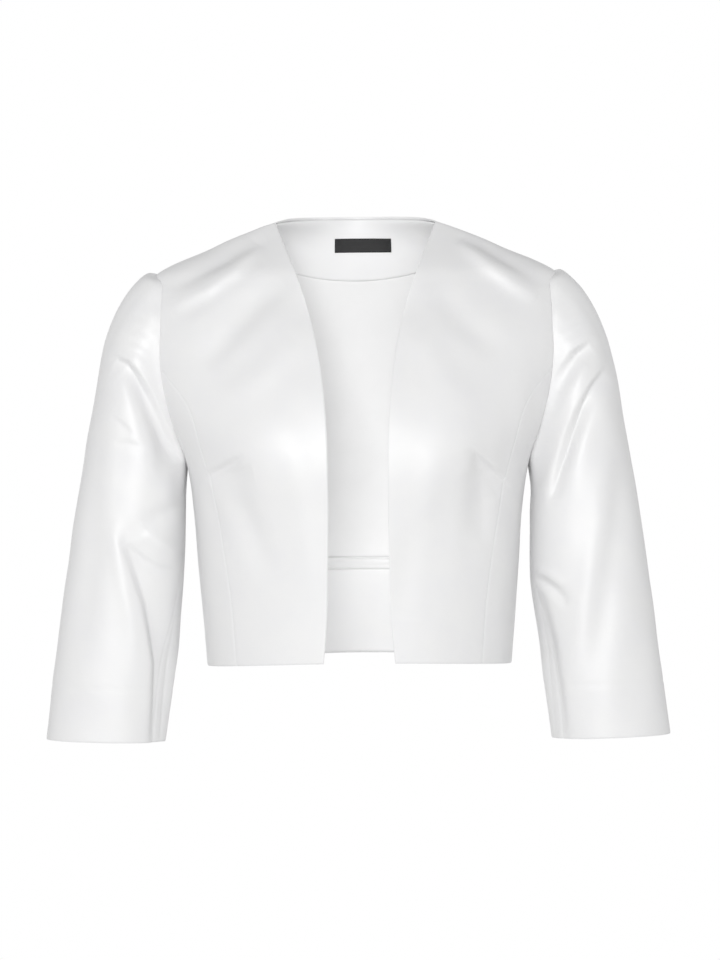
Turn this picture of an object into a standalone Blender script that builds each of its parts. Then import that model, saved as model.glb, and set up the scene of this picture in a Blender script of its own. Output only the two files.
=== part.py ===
"""Bolero jacket in white duchess satin, as it hangs when worn: cropped, collarless and open in front.

The frame's origin lies midway between the two points where the shoulder seams meet the neck. +Z is up,
the front faces -Y and +X is the wearer's left. Lengths in the tables and functions are millimetres.
"""

import math

import bmesh
import bpy
import numpy as np

# Driving dimensions
MM = 0.001
SHELL_THICKNESS = 1.5
LINING_THICKNESS = 1.0
SEAM_GAP = 0.3
LYING_GAP = 0.5
EDGE_SETBACK = 1.2
SIDE_SETBACK = 0.8
SLEEVE_ROOM = 7.0
SHOULDER_TIP_Z = -47.0
UNDERARM_Z = -237.0
PRINCESS_TOP_Z = -142.0
HEM_Z = -425.0
HEM_SIDE_DROP = 5.5
NECK_POINT_Z = 2.5
BACK_NECK_Z = 12.7
LABEL_SIZE = (58.0, 14.0)
LABEL_CENTRE = (7.5, -15.2)
LABEL_THICKNESS = 0.8

# Segments along each seam, which both of its pieces share
SHOULDER_STEPS = 8
FRONT_ARMHOLE_STEPS = 8
LOWER_ARMHOLE_STEPS = 7
BACK_ARMHOLE_STEPS = 15
SIDE_STEPS = 14
BACK_COLUMNS = 16
SLEEVE_STEPS = 24

# Rows of the back panel where the neck facing, the waist pleat and the hem facing meet
FACING_ROWS = 3
PLEAT_ROW = SHOULDER_STEPS + BACK_ARMHOLE_STEPS + 7

# Level cuts through the body: height, half width, depth to the front and to the back, squareness
BODY_COLUMNS = ("z", "half_width", "front", "back", "square")
BODY = (
    (-432.0, 148.5, 103.0, 93.0, 2.3),
    (-378.0, 153.0, 106.0, 85.0, 2.3),
    (-330.0, 157.0, 111.0, 80.0, 2.3),
    (-285.0, 160.0, 117.0, 85.0, 2.25),
    (-241.0, 166.0, 123.0, 94.0, 2.2),
    (-228.0, 169.0, 123.0, 96.0, 2.2),
    (-205.0, 179.0, 120.0, 99.0, 2.2),
    (-175.0, 190.5, 112.0, 101.0, 2.2),
    (-142.0, 201.0, 99.0, 101.0, 2.18),
    (-108.0, 208.5, 84.0, 97.0, 2.12),
    (-78.0, 209.0, 67.0, 90.0, 2.02),
    (-62.0, 204.5, 58.0, 86.0, 1.95),
    (-47.0, 194.0, 49.0, 82.0, 1.88),
    (-37.0, 175.5, 41.0, 79.0, 1.85),
    (-25.5, 148.0, 31.0, 76.0, 1.82),
    (-13.7, 122.0, 20.0, 74.0, 1.8),
    (-5.9, 102.0, 13.0, 72.5, 1.8),
    (-2.0, 92.0, 9.0, 72.0, 1.8),
    (2.5, 78.5, 5.0, 71.5, 1.8),
    (13.0, 68.0, 5.0, 70.0, 1.8),
)

# Front edge and princess seam: height, distance from the centre
FRONT_EDGE = (
    (-426.0, 34.0),
    (-400.0, 31.5),
    (-330.0, 29.0),
    (-250.0, 28.2),
    (-199.0, 29.2),
    (-172.0, 31.3),
    (-127.0, 37.1),
    (-78.0, 49.0),
    (-38.0, 62.9),
    (-14.0, 72.3),
    (2.5, 78.5),
)
PRINCESS_SEAM = (
    (-432.0, 117.5),
    (-360.0, 123.0),
    (-327.0, 127.5),
    (-282.0, 135.5),
    (-243.0, 143.5),
    (-218.0, 150.6),
    (-177.0, 163.5),
)

# Armhole from the shoulder tip down to the underarm, seen from the side: depth from the shoulder, height
FRONT_ARMHOLE = (
    (0.0, -47.0),
    (-18.0, -57.0),
    (-29.0, -79.0),
    (-37.0, -108.0),
    (-37.0, -142.0),
    (-33.0, -175.0),
    (-25.0, -205.0),
    (-15.0, -228.0),
    (0.0, -237.0),
)
BACK_ARMHOLE = (
    (0.0, -47.0),
    (21.0, -58.0),
    (39.0, -84.0),
    (48.0, -120.0),
    (50.0, -155.0),
    (44.0, -190.0),
    (32.0, -216.0),
    (16.0, -232.0),
    (0.0, -237.0),
)

# Where the back panel's rows cross the centre: row, height
BACK_CENTRE = (
    (0, BACK_NECK_Z),
    (FACING_ROWS, -51.0),
    (SHOULDER_STEPS, -100.0),
    (PLEAT_ROW, -330.8),
    (PLEAT_ROW + 1, -344.3),
    (SHOULDER_STEPS + BACK_ARMHOLE_STEPS + SIDE_STEPS, HEM_Z),
)

# Sleeve outlines as seen from the front: height, distance from the centre on the wearer's right and left
SLEEVE_OUTER = (
    (-47.0, 193.7, 193.7),
    (-46.5, 203.5, 201.0),
    (-53.0, 212.5, 209.8),
    (-65.8, 223.4, 221.5),
    (-86.4, 235.5, 233.9),
    (-109.9, 244.7, 243.4),
    (-133.4, 250.9, 249.9),
    (-156.9, 255.2, 255.4),
    (-192.2, 261.6, 260.7),
    (-227.5, 268.0, 267.1),
    (-286.3, 277.7, 276.0),
    (-356.8, 287.8, 285.0),
    (-427.4, 297.0, 293.2),
    (-503.5, 305.7, 302.2),
)
SLEEVE_INNER = (
    (-237.0, 166.5, 166.5),
    (-263.0, 168.6, 169.3),
    (-286.3, 169.0, 168.2),
    (-333.3, 170.6, 167.6),
    (-356.8, 171.8, 168.4),
    (-403.9, 175.9, 174.8),
    (-450.9, 181.9, 179.6),
    (-507.0, 190.6, 186.8),
)

# Sleeve depth: share of the way down, half depth front to back, forward reach of the centre
SLEEVE_DEPTH = (
    (0.0, 47.0, 2.0),
    (0.15, 50.0, 1.0),
    (0.35, 50.0, 0.0),
    (0.6, 47.0, -6.0),
    (1.0, 37.0, -20.0),
)

# Largest folds: (x, z) points of the crease line, depth, half width, and the side it lies on
FOLD_COLUMNS = ("line", "depth", "half_width", "side")
FOLDS = (
    (((-238, -133), (-213, -147), (-196, -172), (-184, -197)), 7.0, 11.0, "front"),
    (((-222, -320), (-212, -345), (-200, -375), (-186, -395)), 8.0, 13.0, "front"),
    (((-216, -317), (-192, -302)), 4.0, 10.0, "front"),
    (((226, -121), (196, -155), (184, -176)), 7.0, 11.0, "front"),
    (((243, -152), (215, -200), (199, -233)), 7.0, 11.0, "front"),
    (((262, -250), (248, -350), (232, -408)), 4.0, 14.0, "front"),
    (((178, -350), (196, -362), (204, -385)), 7.0, 11.0, "front"),
    (((-86, -10), (-120, -32), (-160, -68)), 2.5, 12.0, "front"),
    (((90, -8), (130, -35), (172, -64)), 3.0, 11.0, "front"),
    (((-240, -140), (-212, -165), (-192, -205)), 5.0, 13.0, "back"),
    (((-270, -300), (-225, -325), (-185, -345)), 5.0, 14.0, "back"),
    (((238, -135), (214, -172), (196, -210)), 5.0, 13.0, "back"),
    (((268, -315), (226, -335), (184, -352)), 5.0, 14.0, "back"),
)

# Fullness of the bust: distance from the centre, height, forward reach, half width, half height
BUST = {"x": 92.0, "z": -226.0, "reach": 9.0, "half_width": 42.0, "half_height": 52.0}

SATIN = {"colour": (0.86, 0.86, 0.87), "roughness": 0.42}
LINING = {"colour": (0.82, 0.82, 0.82), "roughness": 0.55}
LABEL = {"colour": (0.01, 0.01, 0.012), "roughness": 0.6}


def smooth_curve(xs, ys, x):
    """The value at x of a smooth curve through the points xs, ys, with xs rising."""
    xs, ys = np.asarray(xs, float), np.asarray(ys, float)
    x = np.clip(x, xs[0], xs[-1])
    slopes = np.gradient(ys, xs)
    i = np.clip(np.searchsorted(xs, x, side="right") - 1, 0, len(xs) - 2)
    step = xs[i + 1] - xs[i]
    t = (x - xs[i]) / step
    ends = (2 * t**3 - 3 * t**2 + 1) * ys[i] + (3 * t**2 - 2 * t**3) * ys[i + 1]
    return ends + step * ((t**3 - 2 * t**2 + t) * slopes[i] + (t**3 - t**2) * slopes[i + 1])


def smooth_step(low, high, value):
    """0 below low, 1 above high and a soft rise between them."""
    t = np.clip((value - low) / (high - low), 0.0, 1.0)
    return t * t * (3 - 2 * t)


def unit(vectors):
    """Vectors of length one along the given ones."""
    return vectors / np.maximum(np.linalg.norm(vectors, axis=-1, keepdims=True), 1e-9)


def section(z):
    """Half width, front depth, back depth and squareness of the body at height z."""
    rows = np.array(BODY)
    return [smooth_curve(rows[:, 0], rows[:, i], z) for i in range(1, len(BODY_COLUMNS))]


def body_surface(angle, z):
    """The outer face of the body: angle 0 at the wearer's left side, a quarter turn at centre front."""
    half_width, front, back, square = section(z)
    across, along = np.cos(angle), np.sin(angle)
    scale = (np.abs(across) ** square + np.abs(along) ** square) ** (-1 / square)
    x = half_width * across * scale
    y = -np.where(along > 0, front, back) * along * scale
    aside = (np.abs(x) - BUST["x"]) / BUST["half_width"]
    above = (z - BUST["z"]) / BUST["half_height"]
    fullness = BUST["reach"] * np.exp(-(aside**2) - above**2) * smooth_step(0.2, 0.7, along)
    return np.stack([x, y - fullness, z + 0 * x], axis=-1)


def body_normal(angle, z):
    """Outward normals of the body's outer face."""
    around = body_surface(angle + 0.01, z) - body_surface(angle - 0.01, z)
    upward = body_surface(angle, z + 0.5) - body_surface(angle, z - 0.5)
    return unit(np.cross(upward, around))


def angle_at_x(x, z):
    """Angle of the front point at distance x from the centre."""
    half_width, _, _, square = section(z)
    share = np.clip(x / half_width, 0, 1)
    return np.arctan2((1 - share**square) ** (1 / square), share)


def angle_at_y(y, z):
    """Angle of the point on the wearer's left that lies at depth y, in front where y is negative."""
    _, front, back, square = section(z)
    share = np.clip(np.abs(y) / np.where(y < 0, front, back), 0, 1)
    return -np.sign(y) * np.arctan2(share, (1 - share**square) ** (1 / square))


def spaced(angle, z, shares):
    """Points of the seam through these angles and heights, at the given shares of its length."""
    points = body_surface(angle, z)
    length = np.concatenate([[0], np.cumsum(np.linalg.norm(np.diff(points, axis=0), axis=1))])
    at = np.asarray(shares) * length[-1]
    return np.stack([np.interp(at, length, angle), np.interp(at, length, z)], axis=-1), length[-1]


def even(steps):
    """Even shares from 0 to 1."""
    return np.linspace(0, 1, steps + 1)


def armhole_seam(rows, low, high):
    """Dense points of an armhole between two heights, from high to low."""
    depth, height = np.array(rows).T
    t = np.linspace(0, 1, 400)
    stations = np.linspace(0, 1, len(rows))
    y, z = smooth_curve(stations, depth, t), smooth_curve(stations, height, t)
    kept = (z <= high + 1e-6) & (z >= low - 1e-6)
    return angle_at_y(y[kept], z[kept]), z[kept]


def hem_height(angle):
    """The hem is lowest at the side seams."""
    return HEM_Z - HEM_SIDE_DROP * np.cos(angle) ** 2


def seams():
    """The shared seams of the wearer's left half, each as rows of angle and height."""
    z = np.linspace(NECK_POINT_Z, SHOULDER_TIP_Z, 200)
    shoulder, _ = spaced(0 * z, z, even(SHOULDER_STEPS))
    upper_angle, upper_z = armhole_seam(FRONT_ARMHOLE, PRINCESS_TOP_Z, SHOULDER_TIP_Z)
    lower_angle, lower_z = armhole_seam(FRONT_ARMHOLE, UNDERARM_Z, PRINCESS_TOP_Z)
    upper, upper_length = spaced(upper_angle, upper_z, even(FRONT_ARMHOLE_STEPS))
    lower_angle[0], lower_z[0] = upper[-1]
    lower, _ = spaced(lower_angle, lower_z, even(LOWER_ARMHOLE_STEPS))
    back_angle, back_z = armhole_seam(BACK_ARMHOLE, UNDERARM_Z, SHOULDER_TIP_Z)
    back, _ = spaced(back_angle, back_z, even(BACK_ARMHOLE_STEPS))
    shoulder[-1] = upper[0] = back[0] = (0.0, SHOULDER_TIP_Z)
    lower[-1] = back[-1] = (0.0, UNDERARM_Z)
    top_x = body_surface(upper[-1, 0], upper[-1, 1])[0]
    princess_rows = np.array(PRINCESS_SEAM + ((upper[-1, 1], top_x),))
    z = np.linspace(upper[-1, 1], HEM_Z - HEM_SIDE_DROP, 300)
    angle = angle_at_x(smooth_curve(princess_rows[:, 0], princess_rows[:, 1], z), z)
    kept = z >= hem_height(angle)
    angle, z = angle[kept], z[kept]
    angle[0] = upper[-1, 0]
    princess, princess_length = spaced(angle, z, even(SIDE_STEPS))
    z = np.linspace(UNDERARM_Z, HEM_Z - HEM_SIDE_DROP, 100)
    side, _ = spaced(0 * z, z, even(SIDE_STEPS))
    outer = np.concatenate([upper, princess[1:]])
    break_share = upper_length / (upper_length + princess_length)
    below = break_share + even(SIDE_STEPS)[1:] * (1 - break_share)
    shares = np.concatenate([even(FRONT_ARMHOLE_STEPS) * break_share, below])
    z = np.linspace(NECK_POINT_Z, HEM_Z, 500)
    edge_rows = np.array(FRONT_EDGE)
    edge_angle = angle_at_x(smooth_curve(edge_rows[:, 0], edge_rows[:, 1], z), z)
    edge_angle[0] = 0.0
    edge, _ = spaced(edge_angle, z, shares)
    return {
        "shoulder": shoulder,
        "upper": upper,
        "lower": lower,
        "back": back,
        "princess": princess,
        "side": side,
        "outer": outer,
        "edge": edge,
    }


def patch(left, right, top, bottom):
    """A net of angle and height between four seams that share their corners."""
    u = even(len(top) - 1)[None, :, None]
    v = even(len(left) - 1)[:, None, None]
    sides = (1 - u) * left[:, None] + u * right[:, None]
    ends = (1 - v) * top[None] + v * bottom[None]
    corners = (1 - v) * ((1 - u) * top[0] + u * top[-1]) + v * ((1 - u) * bottom[0] + u * bottom[-1])
    return sides + ends - corners


def hem_line(start, end, steps):
    """Hem between two seams, as rows of angle and height."""
    line = np.linspace(start, end, steps + 1)
    line[1:-1, 1] = hem_height(line[1:-1, 0])
    return line


def fold_depth(points, normals):
    """How far the folds draw the cloth in at each point."""
    total = np.zeros(points.shape[:-1])
    flat = points[..., [0, 2]]
    for row in FOLDS:
        fold = dict(zip(FOLD_COLUMNS, row))
        nearest = np.full(total.shape, np.inf)
        taper = np.zeros(total.shape)
        line = np.array(fold["line"], float)
        runs = np.linalg.norm(np.diff(line, axis=0), axis=1)
        before = np.concatenate([[0], np.cumsum(runs)])
        for start, end, run, passed in zip(line, line[1:], runs, before):
            t = np.clip(((flat - start) @ (end - start)) / run**2, 0, 1)
            gap = np.linalg.norm(flat - start - t[..., None] * (end - start), axis=-1)
            along = (passed + t * run) / before[-1]
            closer = gap < nearest
            taper = np.where(closer, 0.35 + 0.65 * np.sin(math.pi * along), taper)
            nearest = np.minimum(nearest, gap)
        facing = np.clip((-1 if fold["side"] == "front" else 1) * normals[..., 1] * 2, 0, 1)
        total += fold["depth"] * taper * facing * np.exp(-((nearest / fold["half_width"]) ** 2))
    return total


def folded(points, normals, share=1.0):
    """The points with the folds pressed in."""
    return points - normals * (fold_depth(points, normals) * share)[..., None]


def inset(points, amounts):
    """Points of a net with its edges drawn in: first row, last row, first column, last column."""
    moved = points.copy()
    for axis, (first, last) in enumerate((amounts[:2], amounts[2:])):
        net = points if axis == 0 else points.swapaxes(0, 1)
        shift = np.zeros_like(net)
        for edge, inner, amount in ((0, 1, first), (-1, -2, last)):
            along = unit(np.gradient(net[edge], axis=0))
            inward = net[inner] - net[edge]
            inward -= (inward * along).sum(-1, keepdims=True) * along
            shift[edge] = unit(inward) * amount
        moved += shift if axis == 0 else shift.swapaxes(0, 1)
    return moved


def fabric(look, name):
    """A cloth material with its colour and roughness."""
    material = bpy.data.materials.new(name)
    material.use_nodes = True
    shader = material.node_tree.nodes["Principled BSDF"]
    shader.inputs["Base Color"].default_value = (*look["colour"], 1)
    shader.inputs["Roughness"].default_value = look["roughness"]
    shader.inputs["Metallic"].default_value = 0.0
    material.diffuse_color = (*look["colour"], 1)
    return material


def cloth_wall(name, outer, inner, look, tube=False):
    """A closed wall between two nets of points, as one object. A tube's net closes round its columns."""
    rows, columns = outer.shape[:2]
    count = rows * columns
    points = np.concatenate([outer.reshape(-1, 3), inner.reshape(-1, 3)]) * MM
    wide = columns if tube else columns - 1
    faces = []

    def add(a, b, c, d):
        faces.extend(((a, b, c), (a, c, d)))

    for row in range(rows - 1):
        for column in range(wide):
            after = (column + 1) % columns
            near, far = row * columns, (row + 1) * columns
            add(near + column, near + after, far + after, far + column)
            add(count + near + column, count + far + column, count + far + after, count + near + after)
    for column in range(wide):
        after = (column + 1) % columns
        last = (rows - 1) * columns
        add(after, column, count + column, count + after)
        add(last + column, last + after, count + last + after, count + last + column)
    for row in range(rows - 1 if not tube else 0):
        near, far, right = row * columns, (row + 1) * columns, columns - 1
        add(near, far, count + far, count + near)
        add(far + right, near + right, count + near + right, count + far + right)
    mesh = bpy.data.meshes.new(name)
    mesh.from_pydata(points.tolist(), [], faces)
    work = bmesh.new()
    work.from_mesh(mesh)
    bmesh.ops.recalc_face_normals(work, faces=work.faces)
    work.to_mesh(mesh)
    work.free()
    mesh.shade_smooth()
    mesh.set_sharp_from_angle(angle=math.radians(40))
    mesh.materials.append(fabric(look, name + "_cloth"))
    thing = bpy.data.objects.new(name, mesh)
    bpy.context.scene.collection.objects.link(thing)
    thing.parent = jacket
    return thing


def sleeve_rings(side, armhole):
    """Rings of the sleeve from the armhole to the cuff, as they lie on the wearer's left."""
    column = 1 if side < 0 else 2
    outer_rows, inner_rows = np.array(SLEEVE_OUTER), np.array(SLEEVE_INNER)
    share = even(SLEEVE_STEPS) ** 1.25

    def along(rows, shares):
        stations = np.linspace(0, 1, len(rows))
        dense = np.linspace(0, 1, 500)
        x, z = smooth_curve(stations, rows[:, column], dense), smooth_curve(stations, rows[:, 0], dense)
        length = np.concatenate([[0], np.cumsum(np.hypot(np.diff(x), np.diff(z)))])
        at = shares * length[-1]
        return np.stack([np.interp(at, length, x), 0 * at, np.interp(at, length, z)], axis=-1)

    outer, inner = along(outer_rows, share), along(inner_rows, even(SLEEVE_STEPS) ** 1.6)
    depth_rows = np.array(SLEEVE_DEPTH)
    half_depth = smooth_curve(depth_rows[:, 0], depth_rows[:, 1], share)
    forward = smooth_curve(depth_rows[:, 0], depth_rows[:, 2], share)
    front_steps = FRONT_ARMHOLE_STEPS + LOWER_ARMHOLE_STEPS
    turn = np.concatenate([even(front_steps) * math.pi, math.pi + even(BACK_ARMHOLE_STEPS)[1:-1] * math.pi])
    centre, reach = (outer + inner) / 2, (outer - inner) / 2
    rings = centre[:, None] + np.cos(turn)[None, :, None] * reach[:, None]
    rings[..., 1] += forward[:, None] - np.sin(turn)[None] * half_depth[:, None]
    fade = (1 - smooth_step(0.0, 0.3, share))[:, None, None]
    rings += (armhole - rings[0]) * fade
    half_width, front, back, square = section(rings[..., 2])
    deep = np.clip(np.abs(rings[..., 1]) / np.where(rings[..., 1] < 0, front, back), 0, 1)
    body_x = half_width * (1 - deep**square) ** (1 / square)
    room = SLEEVE_ROOM * smooth_step(0.0, 0.2, share)[:, None] + LYING_GAP
    beside = (rings[..., 2] < SHOULDER_TIP_Z - 60) & (np.arange(len(share)) > 0)[:, None]
    rings[..., 0] = np.where(beside, np.maximum(rings[..., 0], body_x + room), rings[..., 0])
    return rings


def tube_normals(rings):
    """Outward normals of a tube's rings."""
    down = np.gradient(rings, axis=0)
    around = np.roll(rings, -1, axis=1) - np.roll(rings, 1, axis=1)
    return unit(np.cross(around, down))


def mirrored(net, side):
    """The net on the wearer's left for side 1, and on the right for side -1."""
    return net * np.array([side, 1.0, 1.0])


def half_jacket(side, word, seam, back_offsets):
    """Front, side and sleeve of one half. It leaves the back panel's armhole directions in back_offsets."""
    nets = {
        "front": patch(
            seam["edge"],
            seam["outer"],
            seam["shoulder"],
            hem_line(seam["edge"][-1], seam["outer"][-1], SHOULDER_STEPS),
        ),
        "side": patch(
            seam["princess"],
            seam["side"],
            seam["lower"],
            hem_line(seam["princess"][-1], seam["side"][-1], LOWER_ARMHOLE_STEPS),
        ),
    }
    ring = np.concatenate([seam["upper"], seam["lower"][1:], seam["back"][::-1][1:-1]])
    armhole = body_surface(ring[:, 0], ring[:, 1])
    body_out = mirrored(body_normal(ring[:, 0], ring[:, 1]), side)
    rings = mirrored(sleeve_rings(side, armhole), side)
    sleeve_out = tube_normals(rings) * side
    own = sleeve_out[0]
    shared = unit(body_out + own)
    agree = smooth_step(0.1, 0.75, (body_out * own).sum(-1))[:, None]
    body_in = unit(body_out * (1 - agree) + shared * agree)
    sleeve_in = unit(own * (1 - agree) + shared * agree)
    front_steps = FRONT_ARMHOLE_STEPS
    under = front_steps + LOWER_ARMHOLE_STEPS

    for kind, net in nets.items():
        points = mirrored(body_surface(net[..., 0], net[..., 1]), side)
        out = mirrored(body_normal(net[..., 0], net[..., 1]), side)
        points = folded(points, out)
        if kind == "front":
            out[: front_steps + 1, -1] = body_in[: front_steps + 1]
            gaps = (SEAM_GAP / 2, 0, 0, SEAM_GAP / 2)
        else:
            out[0, :] = body_in[front_steps : under + 1]
            gaps = (0, 0, SEAM_GAP / 2, SEAM_GAP / 2)
        drawn = inset(points, gaps)
        if kind == "front":
            drawn[1 : front_steps, -1] = points[1 : front_steps, -1]
        cloth_wall(f"{kind}_{word}", drawn, drawn - out * SHELL_THICKNESS, SATIN)
    back_offsets[side] = np.concatenate([body_in[:1], body_in[under:][::-1]])

    head = smooth_step(0.0, 0.12, even(SLEEVE_STEPS))[:, None]
    points = folded(rings, sleeve_out, head)
    towards = unit(points[1] - points[0])
    edge = unit(np.roll(armhole, -1, axis=0) - np.roll(armhole, 1, axis=0))
    away = unit(np.cross(mirrored(edge, side), body_out)) * side
    away = np.where((away * mirrored(np.array([1.0, 0, 0]), side)).sum(-1, keepdims=True) < 0, -away, away)
    onward = np.clip((towards * away).sum(-1), 0, 1)[:, None]
    points[0] += unit(away * onward + body_out * (1 - onward)) * SEAM_GAP
    sleeve_out[0] = sleeve_in
    cloth_wall(f"sleeve_{word}", points, points - sleeve_out * SHELL_THICKNESS, SATIN, tube=True)


def back_net(seam):
    """Angle and height of the back panel's net, from the wearer's left side to the right."""
    side = np.concatenate([seam["shoulder"], seam["back"][1:], seam["side"][1:]])
    u = even(BACK_COLUMNS)[None]
    row, centre = np.array(BACK_CENTRE).T
    dip = np.interp(np.arange(len(side)), row, centre)[:, None] - side[:, 1:]
    start = -side[:, :1]
    angle = -(start + (math.pi - 2 * start) * u)
    share = np.sin(math.pi * u) ** np.where(np.arange(len(side)) == 0, 0.6, 2.0)[:, None]
    height = side[:, 1:] + dip * share
    return np.stack([angle, height], axis=-1)


def back_pieces(seam, back_offsets):
    """The back panel and what lies on its inside: facing, lining, hem facing and pleat."""
    net = back_net(seam)
    points = body_surface(net[..., 0], net[..., 1])
    out = body_normal(net[..., 0], net[..., 1])
    points = folded(points, out)
    plain = out.copy()
    rows = slice(SHOULDER_STEPS, SHOULDER_STEPS + BACK_ARMHOLE_STEPS + 1)
    out[rows, 0], out[rows, -1] = back_offsets[1], back_offsets[-1]
    half = SEAM_GAP / 2
    drawn = inset(points, (0, 0, half, half))
    arm_rows = slice(SHOULDER_STEPS + 1, SHOULDER_STEPS + BACK_ARMHOLE_STEPS)
    drawn[arm_rows, 0], drawn[arm_rows, -1] = points[arm_rows, 0], points[arm_rows, -1]
    cloth_wall("back", drawn, drawn - out * SHELL_THICKNESS, SATIN)

    def inside(name, first, last, trim, depth, thickness, look):
        """A piece over the inside of the back, made from its rows and moved in."""
        columns = slice(trim, BACK_COLUMNS + 1 - trim)
        part_points, part_out = points[first : last + 1, columns], plain[first : last + 1, columns]
        top = EDGE_SETBACK if first == 0 else half
        bottom = EDGE_SETBACK if last == len(points) - 1 else half
        held = inset(part_points, (top, bottom, SIDE_SETBACK, SIDE_SETBACK))
        cloth_wall(name, held - part_out * depth, held - part_out * (depth + thickness), look)

    lying = SHELL_THICKNESS + LYING_GAP
    inside("back_neck_facing", 0, FACING_ROWS, 0, lying, LINING_THICKNESS, SATIN)
    inside("back_lining", FACING_ROWS, PLEAT_ROW + 1, 1, lying, LINING_THICKNESS, LINING)
    inside("back_hem_facing", PLEAT_ROW + 1, len(points) - 1, 1, lying, LINING_THICKNESS, SATIN)
    over = lying + LINING_THICKNESS + LYING_GAP
    inside("back_waist_pleat", PLEAT_ROW, PLEAT_ROW + 1, 1, over, LINING_THICKNESS, LINING)


def neck_label():
    """A woven label across the inside of the neck, moved in from the facing."""
    x = LABEL_CENTRE[0] + LABEL_SIZE[0] * (even(6) - 0.5)[None, :]
    z = LABEL_CENTRE[1] + LABEL_SIZE[1] * (0.5 - even(2))[:, None]
    z = z + 0 * x
    angle = -angle_at_x(np.abs(x), z)
    angle = np.where(x < 0, -math.pi - angle, angle)
    points, out = body_surface(angle, z), body_normal(angle, z)
    depth = SHELL_THICKNESS + LINING_THICKNESS + 2 * LYING_GAP + SEAM_GAP
    cloth_wall("neck_label", points - out * depth, points - out * (depth + LABEL_THICKNESS), LABEL)


for thing in list(bpy.data.objects):
    bpy.data.objects.remove(thing)
jacket = bpy.data.objects.new("bolero_jacket", None)
bpy.context.scene.collection.objects.link(jacket)
shared_seams = seams()
armhole_offsets = {}
half_jacket(1, "left", shared_seams, armhole_offsets)
half_jacket(-1, "right", shared_seams, armhole_offsets)
back_pieces(shared_seams, armhole_offsets)
neck_label()
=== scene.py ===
"""Looks of a bolero jacket in white duchess satin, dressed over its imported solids.

Lengths are millimetres until a mesh is made. +Z is up, the open front faces -Y and +X is the wearer's left.
"""

import logging
import math
from dataclasses import dataclass, field
from enum import Enum

import bmesh
import bpy
import numpy as np
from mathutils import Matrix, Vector


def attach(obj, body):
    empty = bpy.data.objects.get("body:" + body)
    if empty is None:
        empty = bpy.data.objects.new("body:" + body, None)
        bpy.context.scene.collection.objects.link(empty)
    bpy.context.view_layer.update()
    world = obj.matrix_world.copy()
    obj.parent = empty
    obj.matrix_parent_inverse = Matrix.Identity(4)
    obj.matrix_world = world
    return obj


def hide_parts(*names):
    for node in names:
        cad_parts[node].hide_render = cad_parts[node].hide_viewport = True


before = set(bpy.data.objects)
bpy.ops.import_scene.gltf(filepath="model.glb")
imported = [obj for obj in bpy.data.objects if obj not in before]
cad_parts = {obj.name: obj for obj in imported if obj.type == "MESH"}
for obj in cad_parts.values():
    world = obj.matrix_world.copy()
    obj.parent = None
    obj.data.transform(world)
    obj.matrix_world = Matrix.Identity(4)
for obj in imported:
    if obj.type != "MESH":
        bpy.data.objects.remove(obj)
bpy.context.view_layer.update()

LOG = logging.getLogger("bolero_jacket")
MM = 0.001
SATIN_THICKNESS = 1.3
LINING_THICKNESS = 0.8
# Distances from a finished edge where the mesh has a row of its own, so that the edge can turn
EDGE_STATIONS = (0.35, 0.9, 1.8, 3.0)
# Share of the wall that the turned edge of a panel loses on each face
EDGE_PRESS = 0.42
# Mean distance between the rows of the solid's back panel, and how far inside pieces stop short of its edges
ROW_HEIGHT = 12.0
EDGE_SETBACK = 1.2
# Row of the back where the neck facing ends and the lining starts
FACING_END = 3.0
# Points along a curved seam, along a plain one and along the outline of a sleeve
CURVE_POINTS = 900
PLAIN_POINTS = 400
OUTLINE_POINTS = 1200
# Angle in degrees from which an edge of the cloth is shaded sharp
SHARP_ANGLE = 60

Line = tuple[tuple[float, float], ...]


class Face(Enum):
    """Which face of the jacket a fold lies on, as the sign of its normal's depth."""

    FRONT = -1.0
    BACK = 1.0


class Edge(Enum):
    """How an edge of a panel is finished."""

    SEAM = "seam"
    FOLDED = "folded"
    HIDDEN = "hidden"


Edges = tuple[Edge, Edge, Edge, Edge]
Pair = tuple[np.ndarray, np.ndarray]


def smooth_curve(xs: np.ndarray, ys: np.ndarray, x: np.ndarray) -> np.ndarray:
    """Reads a smooth curve through points.

    Args:
        xs: rising places of the points.
        ys: values at the points.
        x: places to read.

    Returns:
        The value at each place of x.
    """
    xs, ys = np.asarray(xs, float), np.asarray(ys, float)
    x = np.clip(x, xs[0], xs[-1])
    slopes = np.gradient(ys, xs)
    i = np.clip(np.searchsorted(xs, x, side="right") - 1, 0, len(xs) - 2)
    step = xs[i + 1] - xs[i]
    t = (x - xs[i]) / step
    ends = (2 * t**3 - 3 * t**2 + 1) * ys[i] + (3 * t**2 - 2 * t**3) * ys[i + 1]
    return ends + step * ((t**3 - 2 * t**2 + t) * slopes[i] + (t**3 - t**2) * slopes[i + 1])


def smooth_step(low: float, high: float, value: np.ndarray) -> np.ndarray:
    """Rises softly from 0 to 1.

    Args:
        low: value where the rise starts.
        high: value where it ends.
        value: values to read.

    Returns:
        The share of the rise at each value.
    """
    t = np.clip((value - low) / (high - low), 0.0, 1.0)
    return t * t * (3 - 2 * t)


def unit(vectors: np.ndarray) -> np.ndarray:
    """Vectors of length one along the given ones."""
    return vectors / np.maximum(np.linalg.norm(vectors, axis=-1, keepdims=True), 1e-9)


def bump(distance: np.ndarray, width: float) -> np.ndarray:
    """A rounded bump that is 1 at distance 0 and fades over the width."""
    return np.exp(-((distance / width) ** 2))


def mirrored(net: np.ndarray, side: int) -> np.ndarray:
    """The net on the wearer's left for side 1, and on the right for side -1."""
    return net * np.array([side, 1.0, 1.0])


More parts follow.
